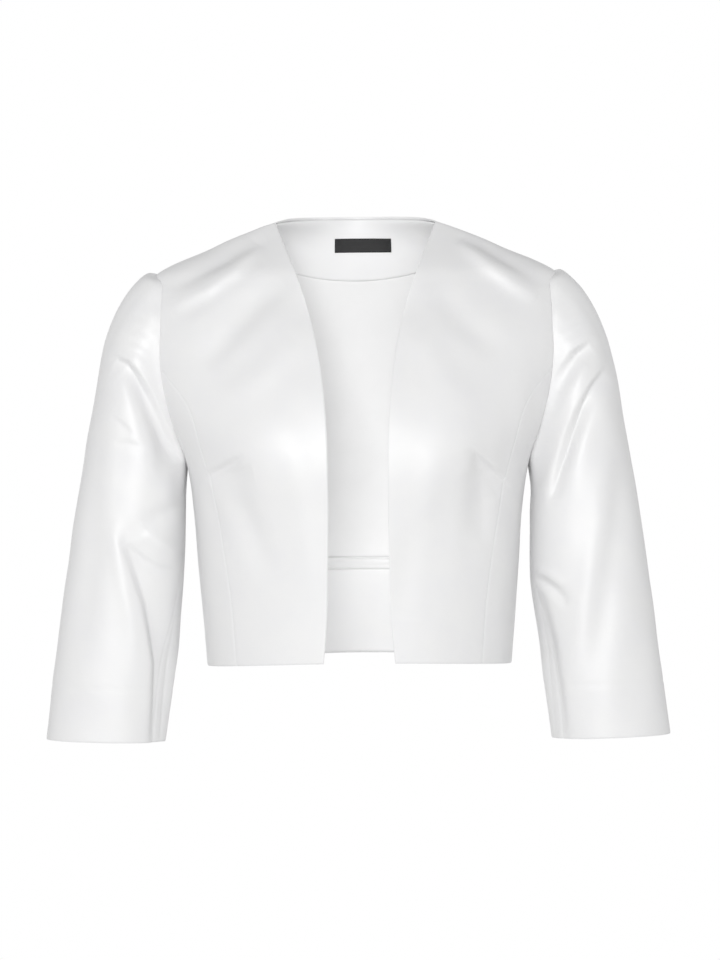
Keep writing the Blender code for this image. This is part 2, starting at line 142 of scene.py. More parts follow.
def stations(steps: int, length: float) -> np.ndarray:
    """Shares along a strip of cloth, even but for a few close ones at its ends.

    Args:
        steps: even steps along the strip.
        length: length of the strip.

    Returns:
        Rising shares from 0 to 1.
    """
    close = np.array(EDGE_STATIONS) / length
    return np.unique(np.concatenate([np.linspace(0, 1, steps + 1), close, 1 - close]))


def distances(net: np.ndarray) -> tuple[np.ndarray, np.ndarray, np.ndarray, np.ndarray]:
    """How far each point of a net lies from its edges.

    Args:
        net: rows and columns of points.

    Returns:
        Distances from the first row, the last row, the first column and the last column.
    """
    def run(points: np.ndarray) -> np.ndarray:
        """Length run down each column."""
        steps = np.linalg.norm(np.diff(points, axis=0), axis=-1)
        return np.concatenate([np.zeros((1, points.shape[1])), np.cumsum(steps, axis=0)])

    down, across = run(net), run(net.swapaxes(0, 1)).T
    return down, down[-1:] - down, across, across[:, -1:] - across


@dataclass(frozen=True)
class Crease:
    """One fold of the cloth, along a line of (x, z) points as seen from the front."""

    line: Line
    depth: float
    left: float
    right: float
    face: Face = Face.FRONT
    ends: float = 0.15

    def depth_at(self, points: np.ndarray, normals: np.ndarray) -> np.ndarray:
        """How far the fold draws the cloth in.

        Args:
            points: points of the smooth cloth.
            normals: its outward normals.

        Returns:
            The depth at each point, negative where the cloth stands out.
        """
        flat = points[..., [0, 2]]
        line = np.array(self.line, float)
        runs = np.linalg.norm(np.diff(line, axis=0), axis=1)
        before = np.concatenate([[0], np.cumsum(runs)])
        nearest = np.full(flat.shape[:-1], np.inf)
        share, turn = np.zeros_like(nearest), np.zeros_like(nearest)
        for start, end, run, passed in zip(line, line[1:], runs, before):
            ahead = end - start
            offset = flat - start
            t = np.clip((offset @ ahead) / run**2, 0, 1)
            gap = np.linalg.norm(offset - t[..., None] * ahead, axis=-1)
            closer = gap < nearest
            share = np.where(closer, (passed + t * run) / before[-1], share)
            turn = np.where(closer, (ahead[0] * offset[..., 1] - ahead[1] * offset[..., 0]) / run, turn)
            nearest = np.minimum(nearest, gap)
        aside = turn / np.maximum(nearest, 1e-6)
        width = self.right + (self.left - self.right) * (0.5 + 0.5 * aside)
        taper = self.ends + (1 - self.ends) * np.sin(math.pi * share) ** 0.7
        facing = np.clip(self.face.value * normals[..., 1] * 2.5, 0, 1)
        return self.depth * taper * facing * bump(nearest, width)


@dataclass(frozen=True)
class Slack:
    """Slow, soft unevenness of hanging satin, as a sum of long waves."""

    height: float
    seed: int
    shortest: float = 34.0
    longest: float = 120.0
    count: int = 14

    def depth_at(self, points: np.ndarray) -> np.ndarray:
        """How far the slack draws the cloth in.

        Args:
            points: points of the smooth cloth.

        Returns:
            The depth at each point.
        """
        draw = np.random.default_rng(self.seed)
        total = np.zeros(points.shape[:-1])
        for _ in range(self.count):
            length = draw.uniform(self.shortest, self.longest)
            lean = draw.normal(0.0, 0.5)
            phase = draw.uniform(0, 2 * math.pi)
            heading = np.array([math.cos(lean), 0.7, math.sin(lean)]) * 2 * math.pi / length
            total += np.sin(points @ heading + phase)
        return total * self.height / math.sqrt(self.count)


@dataclass(frozen=True)
class Seam:
    """A seam on the figure, as close points of angle and height."""

    angle: np.ndarray
    height: np.ndarray
    length: np.ndarray

    def at(self, shares: np.ndarray) -> np.ndarray:
        """Places along the seam.

        Args:
            shares: shares of the seam's length.

        Returns:
            A row of angle and height for each share.
        """
        place = np.asarray(shares) * self.length[-1]
        angle, height = (np.interp(place, self.length, line) for line in (self.angle, self.height))
        return np.stack([angle, height], -1)


Seams = dict[str, Seam]


@dataclass(frozen=True)
class Figure:
    """The hollow form that the jacket keeps: level cuts of height, half width, front, back and squareness."""

    levels: tuple[tuple[float, ...], ...] = (
        (-432.0, 148.5, 103.0, 93.0, 2.3),
        (-378.0, 153.0, 106.0, 85.0, 2.3),
        (-330.0, 157.0, 111.0, 80.0, 2.3),
        (-285.0, 160.0, 117.0, 85.0, 2.25),
        (-241.0, 166.0, 123.0, 94.0, 2.2),
        (-228.0, 169.0, 123.0, 96.0, 2.2),
        (-205.0, 179.0, 120.0, 99.0, 2.2),
        (-175.0, 190.5, 112.0, 101.0, 2.2),
        (-142.0, 201.0, 99.0, 101.0, 2.18),
        (-108.0, 208.5, 84.0, 97.0, 2.12),
        (-78.0, 209.0, 67.0, 90.0, 2.02),
        (-62.0, 204.5, 58.0, 86.0, 1.95),
        (-47.0, 194.0, 49.0, 82.0, 1.88),
        (-37.0, 175.5, 41.0, 79.0, 1.85),
        (-25.5, 148.0, 31.0, 76.0, 1.82),
        (-13.7, 122.0, 20.0, 74.0, 1.8),
        (-5.9, 102.0, 13.0, 72.5, 1.8),
        (-2.0, 92.0, 9.0, 72.0, 1.8),
        (2.5, 78.5, 5.0, 71.5, 1.8),
        (13.0, 68.0, 5.0, 70.0, 1.8),
    )
    bust_centre: tuple[float, float] = (92.0, -226.0)
    bust_half_size: tuple[float, float] = (42.0, 52.0)
    bust_reach: float = 9.0

    def section(self, z: np.ndarray) -> list[np.ndarray]:
        """Half width, front depth, back depth and squareness at each height."""
        rows = np.array(self.levels)
        return [smooth_curve(rows[:, 0], rows[:, i], z) for i in range(1, rows.shape[1])]

    def surface(self, angle: np.ndarray, z: np.ndarray) -> np.ndarray:
        """Points of the outer face.

        Args:
            angle: 0 at the wearer's left side, a quarter turn at centre front.
            z: heights.

        Returns:
            One point for each angle and height.
        """
        half_width, front, back, square = self.section(z)
        across, along = np.cos(angle), np.sin(angle)
        scale = (np.abs(across) ** square + np.abs(along) ** square) ** (-1 / square)
        x = half_width * across * scale
        y = -np.where(along > 0, front, back) * along * scale
        aside = (np.abs(x) - self.bust_centre[0]) / self.bust_half_size[0]
        above = (z - self.bust_centre[1]) / self.bust_half_size[1]
        fullness = self.bust_reach * np.exp(-(aside**2) - above**2) * smooth_step(0.2, 0.7, along)
        return np.stack([x, y - fullness, z + 0 * x], axis=-1)

    def normal(self, angle: np.ndarray, z: np.ndarray) -> np.ndarray:
        """Outward normals of the outer face.

        Args:
            angle: 0 at the wearer's left side, a quarter turn at centre front.
            z: heights.

        Returns:
            One normal for each angle and height.
        """
        around = self.surface(angle + 0.01, z) - self.surface(angle - 0.01, z)
        upward = self.surface(angle, z + 0.5) - self.surface(angle, z - 0.5)
        return unit(np.cross(upward, around))

    def skin(self, net: np.ndarray, side: int = 1) -> Pair:
        """Points and outward normals of a net.

        Args:
            net: rows and columns of angle and height.
            side: 1 for the wearer's left, -1 for the right.

        Returns:
            The points and their normals.
        """
        angle, z = net[..., 0], net[..., 1]
        return mirrored(self.surface(angle, z), side), mirrored(self.normal(angle, z), side)

    def angle_at_x(self, x: np.ndarray, z: np.ndarray) -> np.ndarray:
        """Angle of the front point at distance x from the centre.

        Args:
            x: distances from the centre line.
            z: heights.

        Returns:
            The angle of each point.
        """
        half_width, _, _, square = self.section(z)
        share = np.clip(x / half_width, 0, 1)
        return np.arctan2((1 - share**square) ** (1 / square), share)

    def angle_at_y(self, y: np.ndarray, z: np.ndarray) -> np.ndarray:
        """Angle of the point on the wearer's left at depth y.

        Args:
            y: depths, negative towards the front.
            z: heights.

        Returns:
            The angle of each point.
        """
        _, front, back, square = self.section(z)
        share = np.clip(np.abs(y) / np.where(y < 0, front, back), 0, 1)
        return -np.sign(y) * np.arctan2(share, (1 - share**square) ** (1 / square))

    def seam(self, angle: np.ndarray, z: np.ndarray) -> Seam:
        """The seam through close points of angle and height."""
        runs = np.linalg.norm(np.diff(self.surface(angle, z), axis=0), axis=1)
        return Seam(angle, z, np.concatenate([[0], np.cumsum(runs)]))


@dataclass(frozen=True)
class Cut:
    """Where the seams and edges of the jacket run on the figure, for the wearer's left half."""

    figure: Figure
    shoulder_tip_z: float = -47.0
    underarm_z: float = -237.0
    princess_top_z: float = -142.0
    hem_z: float = -425.0
    hem_side_drop: float = 5.5
    neck_point_z: float = 2.5
    # Rows of the solid's back beside the shoulder, the armhole and the side seam
    rows: tuple[int, int, int] = (8, 15, 14)
    # About how wide and how long each panel is, which sets the close rows at its edges
    front_size: tuple[float, float] = (150.0, 430.0)
    side_size: tuple[float, float] = (80.0, 260.0)
    back_size: tuple[float, float] = (380.0, 440.0)
    # Height, distance from the centre
    front_edge: Line = (
        (-426.0, 34.0),
        (-400.0, 31.5),
        (-330.0, 29.0),
        (-250.0, 28.2),
        (-199.0, 29.2),
        (-172.0, 31.3),
        (-127.0, 37.1),
        (-78.0, 49.0),
        (-38.0, 62.9),
        (-14.0, 72.3),
        (2.5, 78.5),
    )
    princess: Line = (
        (-432.0, 117.5),
        (-360.0, 123.0),
        (-327.0, 127.5),
        (-282.0, 135.5),
        (-243.0, 143.5),
        (-218.0, 150.6),
        (-177.0, 163.5),
    )
    # Depth, height
    front_armhole: Line = (
        (0.0, -47.0),
        (-18.0, -57.0),
        (-29.0, -79.0),
        (-37.0, -108.0),
        (-37.0, -142.0),
        (-33.0, -175.0),
        (-25.0, -205.0),
        (-15.0, -228.0),
        (0.0, -237.0),
    )
    back_armhole: Line = (
        (0.0, -47.0),
        (21.0, -58.0),
        (39.0, -84.0),
        (48.0, -120.0),
        (50.0, -155.0),
        (44.0, -190.0),
        (32.0, -216.0),
        (16.0, -232.0),
        (0.0, -237.0),
    )
    # Row of the solid's back, height at the centre
    back_centre: Line = (
        (0, 12.7),
        (3, -51.0),
        (8, -100.0),
        (30, -330.8),
        (31, -344.3),
        (37, -425.0),
    )

    def hem_height(self, angle: np.ndarray) -> np.ndarray:
        """Height of the hem, which is lowest at the side seams."""
        return self.hem_z - self.hem_side_drop * np.cos(angle) ** 2

    def armhole(self, rows: Line, low: float, high: float) -> Seam:
        """The stretch of an armhole between two heights, from the high end.

        Args:
            rows: depth and height of the armhole's points.
            low: height of its lower end.
            high: height of its upper end.

        Returns:
            The seam along that stretch.
        """
        depth, height = np.array(rows).T
        t = np.linspace(0, 1, CURVE_POINTS)
        places = np.linspace(0, 1, len(rows))
        y, z = smooth_curve(places, depth, t), smooth_curve(places, height, t)
        kept = (z <= high + 1e-6) & (z >= low - 1e-6)
        return self.figure.seam(self.figure.angle_at_y(y[kept], z[kept]), z[kept])

    def seams(self) -> Seams:
        """All seams of the half.

        Returns:
            The seams by name, meeting at shared corners.
        """
        figure = self.figure
        z = np.linspace(self.neck_point_z, self.shoulder_tip_z, PLAIN_POINTS)
        shoulder = figure.seam(0 * z, z)
        upper = self.armhole(self.front_armhole, self.princess_top_z, self.shoulder_tip_z)
        lower = self.armhole(self.front_armhole, self.underarm_z, self.princess_top_z)
        back = self.armhole(self.back_armhole, self.underarm_z, self.shoulder_tip_z)
        corner = (upper.angle[-1], upper.height[-1])
        for seam, place, value in (
            (shoulder, -1, (0.0, self.shoulder_tip_z)),
            (upper, 0, (0.0, self.shoulder_tip_z)),
            (back, 0, (0.0, self.shoulder_tip_z)),
            (lower, 0, corner),
            (lower, -1, (0.0, self.underarm_z)),
            (back, -1, (0.0, self.underarm_z)),
        ):
            seam.angle[place], seam.height[place] = value
        top_x = figure.surface(np.array(corner[0]), np.array(corner[1]))[0]
        rows = np.array(self.princess + ((corner[1], top_x),))
        z = np.linspace(corner[1], self.hem_z - self.hem_side_drop, CURVE_POINTS)
        angle = figure.angle_at_x(smooth_curve(rows[:, 0], rows[:, 1], z), z)
        kept = z >= self.hem_height(angle)
        angle, z = angle[kept], z[kept]
        angle[0] = corner[0]
        princess = figure.seam(angle, z)
        z = np.linspace(self.underarm_z, self.hem_z - self.hem_side_drop, PLAIN_POINTS)
        side = figure.seam(0 * z, z)
        z = np.linspace(self.neck_point_z, self.hem_z, CURVE_POINTS)
        rows = np.array(self.front_edge)
        angle = figure.angle_at_x(smooth_curve(rows[:, 0], rows[:, 1], z), z)
        angle[0] = 0.0
        edge = figure.seam(angle, z)
        return {
            "shoulder": shoulder,
            "upper": upper,
            "lower": lower,
            "back": back,
            "princess": princess,
            "side": side,
            "edge": edge,
        }

    def patch(self, left: np.ndarray, right: np.ndarray, top: np.ndarray, bottom: np.ndarray,
              u: np.ndarray, v: np.ndarray) -> np.ndarray:
        """A net of angle and height between four lines that share their corners.

        Args:
            left: first column.
            right: last column.
            top: first row.
            bottom: last row.
            u: share of each column across.
            v: share of each row down.

        Returns:
            Rows and columns of angle and height.
        """
        u, v = u[None, :, None], v[:, None, None]
        sides = (1 - u) * left[:, None] + u * right[:, None]
        ends = (1 - v) * top[None] + v * bottom[None]
        corners = (1 - v) * ((1 - u) * top[0] + u * top[-1]) + v * ((1 - u) * bottom[0] + u * bottom[-1])
        return sides + ends - corners

    def hem_line(self, start: np.ndarray, end: np.ndarray, u: np.ndarray) -> np.ndarray:
        """The hem between two seams.

        Args:
            start: angle and height where it starts.
            end: angle and height where it ends.
            u: shares between them.

        Returns:
            A row of angle and height for each share.
        """
        line = start + (end - start) * u[:, None]
        line[1:-1, 1] = self.hem_height(line[1:-1, 0])
        return line

    def front_net(self, seams: Seams, across: int, down: int) -> np.ndarray:
        """The front panel's net, from the front edge to the armhole and the princess seam.

        Args:
            seams: the seams by name.
            across: even steps from the front edge to the side.
            down: even steps from the shoulder to the hem.

        Returns:
            Rows and columns of angle and height.
        """
        u, v = stations(across, self.front_size[0]), stations(down, self.front_size[1])
        upper, princess = seams["upper"], seams["princess"]
        share = upper.length[-1] / (upper.length[-1] + princess.length[-1])
        above = v <= share
        outer = np.where(
            above[:, None],
            upper.at(np.clip(v / share, 0, 1)),
            princess.at(np.clip((v - share) / (1 - share), 0, 1)),
        )
        edge = seams["edge"].at(v)
        return self.patch(edge, outer, seams["shoulder"].at(u), self.hem_line(edge[-1], outer[-1], u), u, v)

    def side_net(self, seams: Seams, across: int, down: int) -> np.ndarray:
        """The side panel's net, from the princess seam to the side seam.

        Args:
            seams: the seams by name.
            across: even steps from seam to seam.
            down: even steps from the armhole to the hem.

        Returns:
            Rows and columns of angle and height.
        """
        u, v = stations(across, self.side_size[0]), stations(down, self.side_size[1])
        left, right = seams["princess"].at(v), seams["side"].at(v)
        return self.patch(left, right, seams["lower"].at(u), self.hem_line(left[-1], right[-1], u), u, v)

    def back_net(self, seams: Seams, columns: np.ndarray, rows: np.ndarray) -> np.ndarray:
        """The back's net, from the wearer's left side to the right.

        Args:
            seams: the seams by name.
            columns: share of each column across.
            rows: place of each row, counted in the rows of the solid.

        Returns:
            Rows and columns of angle and height.
        """
        shoulder_rows, arm_rows, side_rows = self.rows
        side = np.zeros((len(rows), 2))
        start = 0
        for name, count in (("shoulder", shoulder_rows), ("back", arm_rows), ("side", side_rows)):
            here = (rows >= start - 1e-9) & (rows <= start + count + 1e-9)
            side[here] = seams[name].at(np.clip((rows[here] - start) / count, 0, 1))
            start += count
        place, centre = np.array(self.back_centre).T
        dip = np.interp(rows, place, centre)[:, None] - side[:, 1:]
        u = columns[None]
        angle = -(-side[:, :1] + (math.pi + 2 * side[:, :1]) * u)
        power = np.interp(rows, [0, 1], [0.6, 2.0])[:, None]
        return np.stack([angle, side[:, 1:] + dip * np.sin(math.pi * u) ** power], axis=-1)


def shell_mesh(name: str, outer: np.ndarray, inner: np.ndarray, tube: bool = False) -> bpy.types.Object:
    """Makes a closed wall of cloth between two nets of points.

    Args:
        name: name of the piece.
        outer: the outer net, in millimetres.
        inner: the inner net, row for row and column for column.
        tube: whether the net closes round its columns.

    Returns:
        The new object.
    """
    rows, columns = outer.shape[:2]
    count = rows * columns
    index = np.arange(count).reshape(rows, columns)
    if tube:
        index = np.concatenate([index, index[:, :1]], axis=1)
    near, after, far, beyond = index[:-1, :-1], index[:-1, 1:], index[1:, :-1], index[1:, 1:]
    faces = [
        np.stack([near, far, beyond, after], -1).reshape(-1, 4),
        np.stack([near, after, beyond, far], -1).reshape(-1, 4) + count,
    ]
    if tube:
        rims = [index[0], index[-1][::-1]]
    else:
        rims = [np.concatenate([index[0], index[1:, -1], index[-1, -2::-1], index[-2::-1, 0]])]
    for rim in rims:
        faces.append(np.stack([rim[:-1], rim[1:], rim[1:] + count, rim[:-1] + count], -1))
    mesh = bpy.data.meshes.new(name)
    points = np.concatenate([outer.reshape(-1, 3), inner.reshape(-1, 3)]) * MM
    mesh.from_pydata(points, [], np.concatenate(faces).tolist())
    work = bmesh.new()
    work.from_mesh(mesh)
    bmesh.ops.recalc_face_normals(work, faces=work.faces)
    work.to_mesh(mesh)
    work.free()
    mesh.shade_smooth()
    mesh.set_sharp_from_angle(angle=math.radians(SHARP_ANGLE))
    thing = bpy.data.objects.new(name, mesh)
    bpy.context.scene.collection.objects.link(thing)
    return thing


def linear(hex_colour: str) -> tuple[float, float, float, float]:
    """The linear colour of an sRGB hex value such as "#F2F2F4"."""
    parts = [int(hex_colour[i : i + 2], 16) / 255 for i in (1, 3, 5)]
    return (*(p / 12.92 if p <= 0.04045 else ((p + 0.055) / 1.055) ** 2.4 for p in parts), 1.0)


def add_node(tree: bpy.types.NodeTree, kind: str, settings: dict[str, object] | None = None,
             values: dict[str | int, object] | None = None,
             links: dict[str | int, bpy.types.NodeSocket] | None = None) -> bpy.types.Node:
    """Adds a node to a material.

    Args:
        tree: node tree of the material.
        kind: Blender's name of the node type.
        settings: properties of the node.
        values: values of its input sockets.
        links: sockets that feed its inputs.

    Returns:
        The new node.
    """
    node = tree.nodes.new(kind)
    for key, value in (settings or {}).items():
        setattr(node, key, value)
    for key, value in (values or {}).items():
        node.inputs[key].default_value = value
    for key, socket in (links or {}).items():
        tree.links.new(socket, node.inputs[key])
    return node


@dataclass(frozen=True)
class WovenFinish:
    """A woven fabric: its colours, gloss, thread spacing and the unevenness of its surface."""

    name: str
    colour: str
    shade: str
    roughness: float
    ior: float
    specular: float
    sheen: float
    thread_mm: float
    thread_relief: float
    slub_mm: float
    slub_relief: float
    gloss_spread: float = 0.04
    thread_stretch: float = 0.16
    noise_range: tuple[float, float] = (0.3, 0.7)

    def material(self) -> bpy.types.Material:
        """The finish as a procedural material.

        Returns:
            A material whose pattern comes from the cloth's own place in millimetres.
        """
        material = bpy.data.materials.new(self.name)
        material.use_nodes = True
        tree = material.node_tree
        shader = tree.nodes["Principled BSDF"]
        place = add_node(tree, "ShaderNodeTexCoord").outputs["Object"]
        cloud = add_node(
            tree,
            "ShaderNodeTexNoise",
            values={"Scale": 1 / (self.slub_mm * MM), "Detail": 3.0, "Roughness": 0.55},
            links={"Vector": place},
        )
        ramp = add_node(tree, "ShaderNodeValToRGB", links={"Fac": cloud.outputs["Fac"]})
        stops = ramp.color_ramp.elements
        for stop, level, colour in zip(stops, self.noise_range, (self.shade, self.colour)):
            stop.position, stop.color = level, linear(colour)
        tree.links.new(ramp.outputs["Color"], shader.inputs["Base Color"])
        stretched = add_node(
            tree,
            "ShaderNodeMapping",
            values={"Scale": (self.thread_stretch, self.thread_stretch, 1.0)},
            links={"Vector": place},
        )
        weft = add_node(
            tree,
            "ShaderNodeTexNoise",
            values={"Scale": 1 / (self.thread_mm * MM), "Detail": 2.0, "Roughness": 0.6},
            links={"Vector": stretched.outputs["Vector"]},
        )
        fine = add_node(
            tree,
            "ShaderNodeBump",
            values={"Strength": 1.0, "Distance": self.thread_relief * MM},
            links={"Height": weft.outputs["Fac"]},
        )
        coarse = add_node(
            tree,
            "ShaderNodeBump",
            values={"Strength": 1.0, "Distance": self.slub_relief * MM},
            links={"Height": cloud.outputs["Fac"], "Normal": fine.outputs["Normal"]},
        )
        tree.links.new(coarse.outputs["Normal"], shader.inputs["Normal"])
        spread = add_node(
            tree,
            "ShaderNodeMapRange",
            values={
                "From Min": self.noise_range[0],
                "From Max": self.noise_range[1],
                "To Min": self.roughness - self.gloss_spread,
                "To Max": self.roughness + self.gloss_spread,
            },
            links={"Value": weft.outputs["Fac"]},
        )
        tree.links.new(spread.outputs["Result"], shader.inputs["Roughness"])
        shader.inputs["IOR"].default_value = self.ior
        shader.inputs["Specular IOR Level"].default_value = self.specular
        shader.inputs["Metallic"].default_value = 0.0
        shader.inputs["Sheen Weight"].default_value = self.sheen
        shader.inputs["Sheen Roughness"].default_value = 0.4
        material.diffuse_color = linear(self.colour)
        return material


@dataclass
class ClothPiece:
    """One cut piece of the jacket: its name, the solid it stands for and how its cloth was cut."""

    name: str
    node: str
    slot: str
    material: bpy.types.Material
    flat: tuple[float, float]
    area: float
    hangs_from: tuple[str, ...]
    thickness: float = SATIN_THICKNESS
    creases: tuple[Crease, ...] = ()
    slack: Slack = field(default_factory=lambda: Slack(0.22, 11))
    seam_dip: float = 0.3
    seam_width: float = 1.4
    rim: float = 0.7

    def folds(self, points: np.ndarray, normals: np.ndarray) -> np.ndarray:
        """Depth of the slack and of all creases at each point."""
        return self.slack.depth_at(points) + sum(crease.depth_at(points, normals) for crease in self.creases)

    def edge_marks(self, points: np.ndarray, edges: Edges) -> Pair:
        """The marks that seams and turned edges leave in the cloth.

        Args:
            points: the smooth net.
            edges: finish of the first row, last row, first column and last column.

        Returns:
            How far the seams dip, and how far the edges have turned, from 0 to 1.
        """
        dip, turned = np.zeros(points.shape[:-1]), np.zeros(points.shape[:-1])
        for edge, gap in zip(edges, distances(points)):
            if edge is Edge.SEAM:
                dip += self.seam_dip * bump(gap, self.seam_width)
            if edge is Edge.FOLDED:
                turned = np.maximum(turned, bump(gap, self.rim))
        return dip, turned

    def wall(self, points: np.ndarray, normals: np.ndarray, depth: np.ndarray, turned: np.ndarray) -> Pair:
        """The two faces of the cloth.

        Args:
            points: the smooth outer net.
            normals: its outward normals.
            depth: how far the cloth is drawn in.
            turned: how far the edges have turned, from 0 to 1.

        Returns:
            The outer and the inner net.
        """
        pressed = EDGE_PRESS * self.thickness * turned
        outer = points - normals * (depth + pressed)[..., None]
        inner = points - normals * (depth + self.thickness - pressed)[..., None]
        return outer, inner

    def dress(self, outer: np.ndarray, inner: np.ndarray, tube: bool = False) -> bpy.types.Object:
        """Makes the piece, hides the solid that it stands for and logs which solid that is.

        Args:
            outer: the outer net.
            inner: the inner net.
            tube: whether the net closes round its columns.

        Returns:
            The dressed object.
        """
        thing = shell_mesh(self.name, outer, inner, tube)
        thing.data.materials.append(self.material)
        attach(thing, "root")
        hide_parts(self.node)
        LOG.info("%s: %d faces, stands for %s", self.name, len(thing.data.polygons), self.node)
        return thing


@dataclass
class BodyPanel(ClothPiece):
    """A panel of the body, laid on the figure between its seams."""

    side: int = 1
    steps: tuple[int, int] = (84, 236)
    edges: Edges = (Edge.SEAM, Edge.FOLDED, Edge.FOLDED, Edge.SEAM)

    def net(self, cut: Cut, seams: Seams) -> np.ndarray:
        """The panel's rows and columns of angle and height, which each kind of panel gives."""
        raise NotImplementedError

    def make(self, cut: Cut, seams: Seams) -> bpy.types.Object:
        """Makes the panel on its side of the figure.

        Args:
            cut: where the seams run.
            seams: the seams by name.

        Returns:
            The dressed object.
        """
        points, normals = cut.figure.skin(self.net(cut, seams), self.side)
        dip, turned = self.edge_marks(points, self.edges)
        return self.dress(*self.wall(points, normals, self.folds(points, normals) + dip, turned))


@dataclass
class FrontPanel(BodyPanel):
    """The front of one side, from its open edge to the princess seam."""

    def net(self, cut: Cut, seams: Seams) -> np.ndarray:
        """The net from the front edge to the armhole and the princess seam."""
        return cut.front_net(seams, *self.steps)


@dataclass
class SidePanel(BodyPanel):
    """The side front of one side, from the princess seam to the side seam."""

    steps: tuple[int, int] = (48, 150)
    edges: Edges = (Edge.SEAM, Edge.FOLDED, Edge.SEAM, Edge.SEAM)

    def net(self, cut: Cut, seams: Seams) -> np.ndarray:
        """The net from the princess seam to the side seam."""
        return cut.side_net(seams, *self.steps)


@dataclass
class BackPanel(BodyPanel):
    """The back, one piece from side seam to side seam."""

    steps: tuple[int, int] = (124, 230)
    edges: Edges = (Edge.FOLDED, Edge.FOLDED, Edge.SEAM, Edge.SEAM)

    def net(self, cut: Cut, seams: Seams) -> np.ndarray:
        """The net round the back, from the wearer's left side to the right."""
        columns, rows = (stations(count, length) for count, length in zip(self.steps, cut.back_size))
        return cut.back_net(seams, columns, rows * sum(cut.rows))


@dataclass
class InsidePiece(ClothPiece):
    """A piece that lies over the inside of the back, made from the back's own surface moved in.

    The neck facing's lower edge curves up at both sides, and the upper edge of the lining follows it.
    """

    # Rows of the back that it covers, how deep it lies below the back's outer face, and the share of the
    # back's width that it leaves free at each side
    first_row: float = 0.0
    last_row: float = FACING_END
    lying: float = 2.0
    trim: float = 0.0
    # Steps of its mesh across, the width that they cover, the distance between its rows and the fewest
    # steps down
    columns: int = 110
    width: float = 360.0
    row_step: float = 3.2
    fewest_steps: int = 10
    edges: Edges = (Edge.FOLDED, Edge.SEAM, Edge.SEAM, Edge.SEAM)
    # Ripples across it: distance from its top edge, rise and width
    ripples: tuple[tuple[float, float, float], ...] = ()
    # Share of its thickness that a turned edge loses, and the largest share that a seam takes
    rim_loss: float = 0.7
    dip_limit: float = 0.8
    # The curve of the facing's lower edge: its rise at the centre, how much more it rises and by what
    # distance from the centre, where it fades out again, and how far above and below the cloth follows it
    bow_centre: float = 0.5
    bow_rise: float = 3.5
    bow_full: float = 62.0
    bow_ends: tuple[float, float] = (66.0, 125.0)
    bow_above: float = 36.0
    bow_below: float = 70.0

    def make(self, cut: Cut, seams: Seams) -> bpy.types.Object:
        """Makes the piece over the inside of the back.

        Args:
            cut: where the seams run.
            seams: the seams by name.

        Returns:
            The dressed object.
        """
        height = ROW_HEIGHT * (self.last_row - self.first_row)
        setback = EDGE_SETBACK / ROW_HEIGHT
        top = self.first_row + (setback if self.first_row == 0 else 0.0)
        bottom = self.last_row - (setback if self.last_row == sum(cut.rows) else 0.0)
        rows = top + stations(max(int(height / self.row_step), self.fewest_steps), height) * (bottom - top)
        columns = self.trim + stations(self.columns, self.width) * (1 - 2 * self.trim)
        net = cut.back_net(seams, columns, rows)
        from_centre = np.abs(cut.figure.surface(net[..., 0], net[..., 1])[..., 0])
        net[..., 1] += self.bow(from_centre) * self.bowed((rows - top) / (bottom - top) * height)[:, None]
        points, normals = cut.figure.skin(net)
        down = distances(points)[0]
        raised = self.folds(points, normals)
        for place, rise, width in self.ripples:
            raised += rise * bump(down - place, width)
        return self.dress(*self.inward(points, normals, raised))

    def bow(self, from_centre: np.ndarray) -> np.ndarray:
        """Rise of the facing's lower edge.

        Args:
            from_centre: distances from the centre line.

        Returns:
            The rise at each distance, which grows to bow_full and fades between the bow's ends.
        """
        rise = self.bow_centre + self.bow_rise * np.minimum(from_centre / self.bow_full, 1.0) ** 2
        return rise * smooth_step(self.bow_ends[1], self.bow_ends[0], from_centre)

    def bowed(self, down: np.ndarray) -> np.ndarray:
        """How much of the bow the piece takes up, all of it where facing and lining meet.

        Args:
            down: distances from the top of the piece.

        Returns:
            The share at each distance.
        """
        if self.first_row == 0:
            return smooth_step(0.0, self.bow_above, down)
        if self.first_row == FACING_END:
            return smooth_step(self.bow_below, 0.0, down)
        return np.zeros_like(down)

    def inward(self, points: np.ndarray, normals: np.ndarray, raised: np.ndarray) -> Pair:
        """Lays the piece on the inside.

        Args:
            points: net on the outer face of the back.
            normals: its outward normals.
            raised: how far the piece stands off what it lies on.

        Returns:
            The net against the back and the net that shows.
        """
        dip, turned = self.edge_marks(points, self.edges)
        back = self.lying + raised
        shown = back + self.thickness * (1 - self.rim_loss * turned)
        shown = shown - np.minimum(dip, self.dip_limit * self.thickness)
        return points - normals * back[..., None], points - normals * shown[..., None]


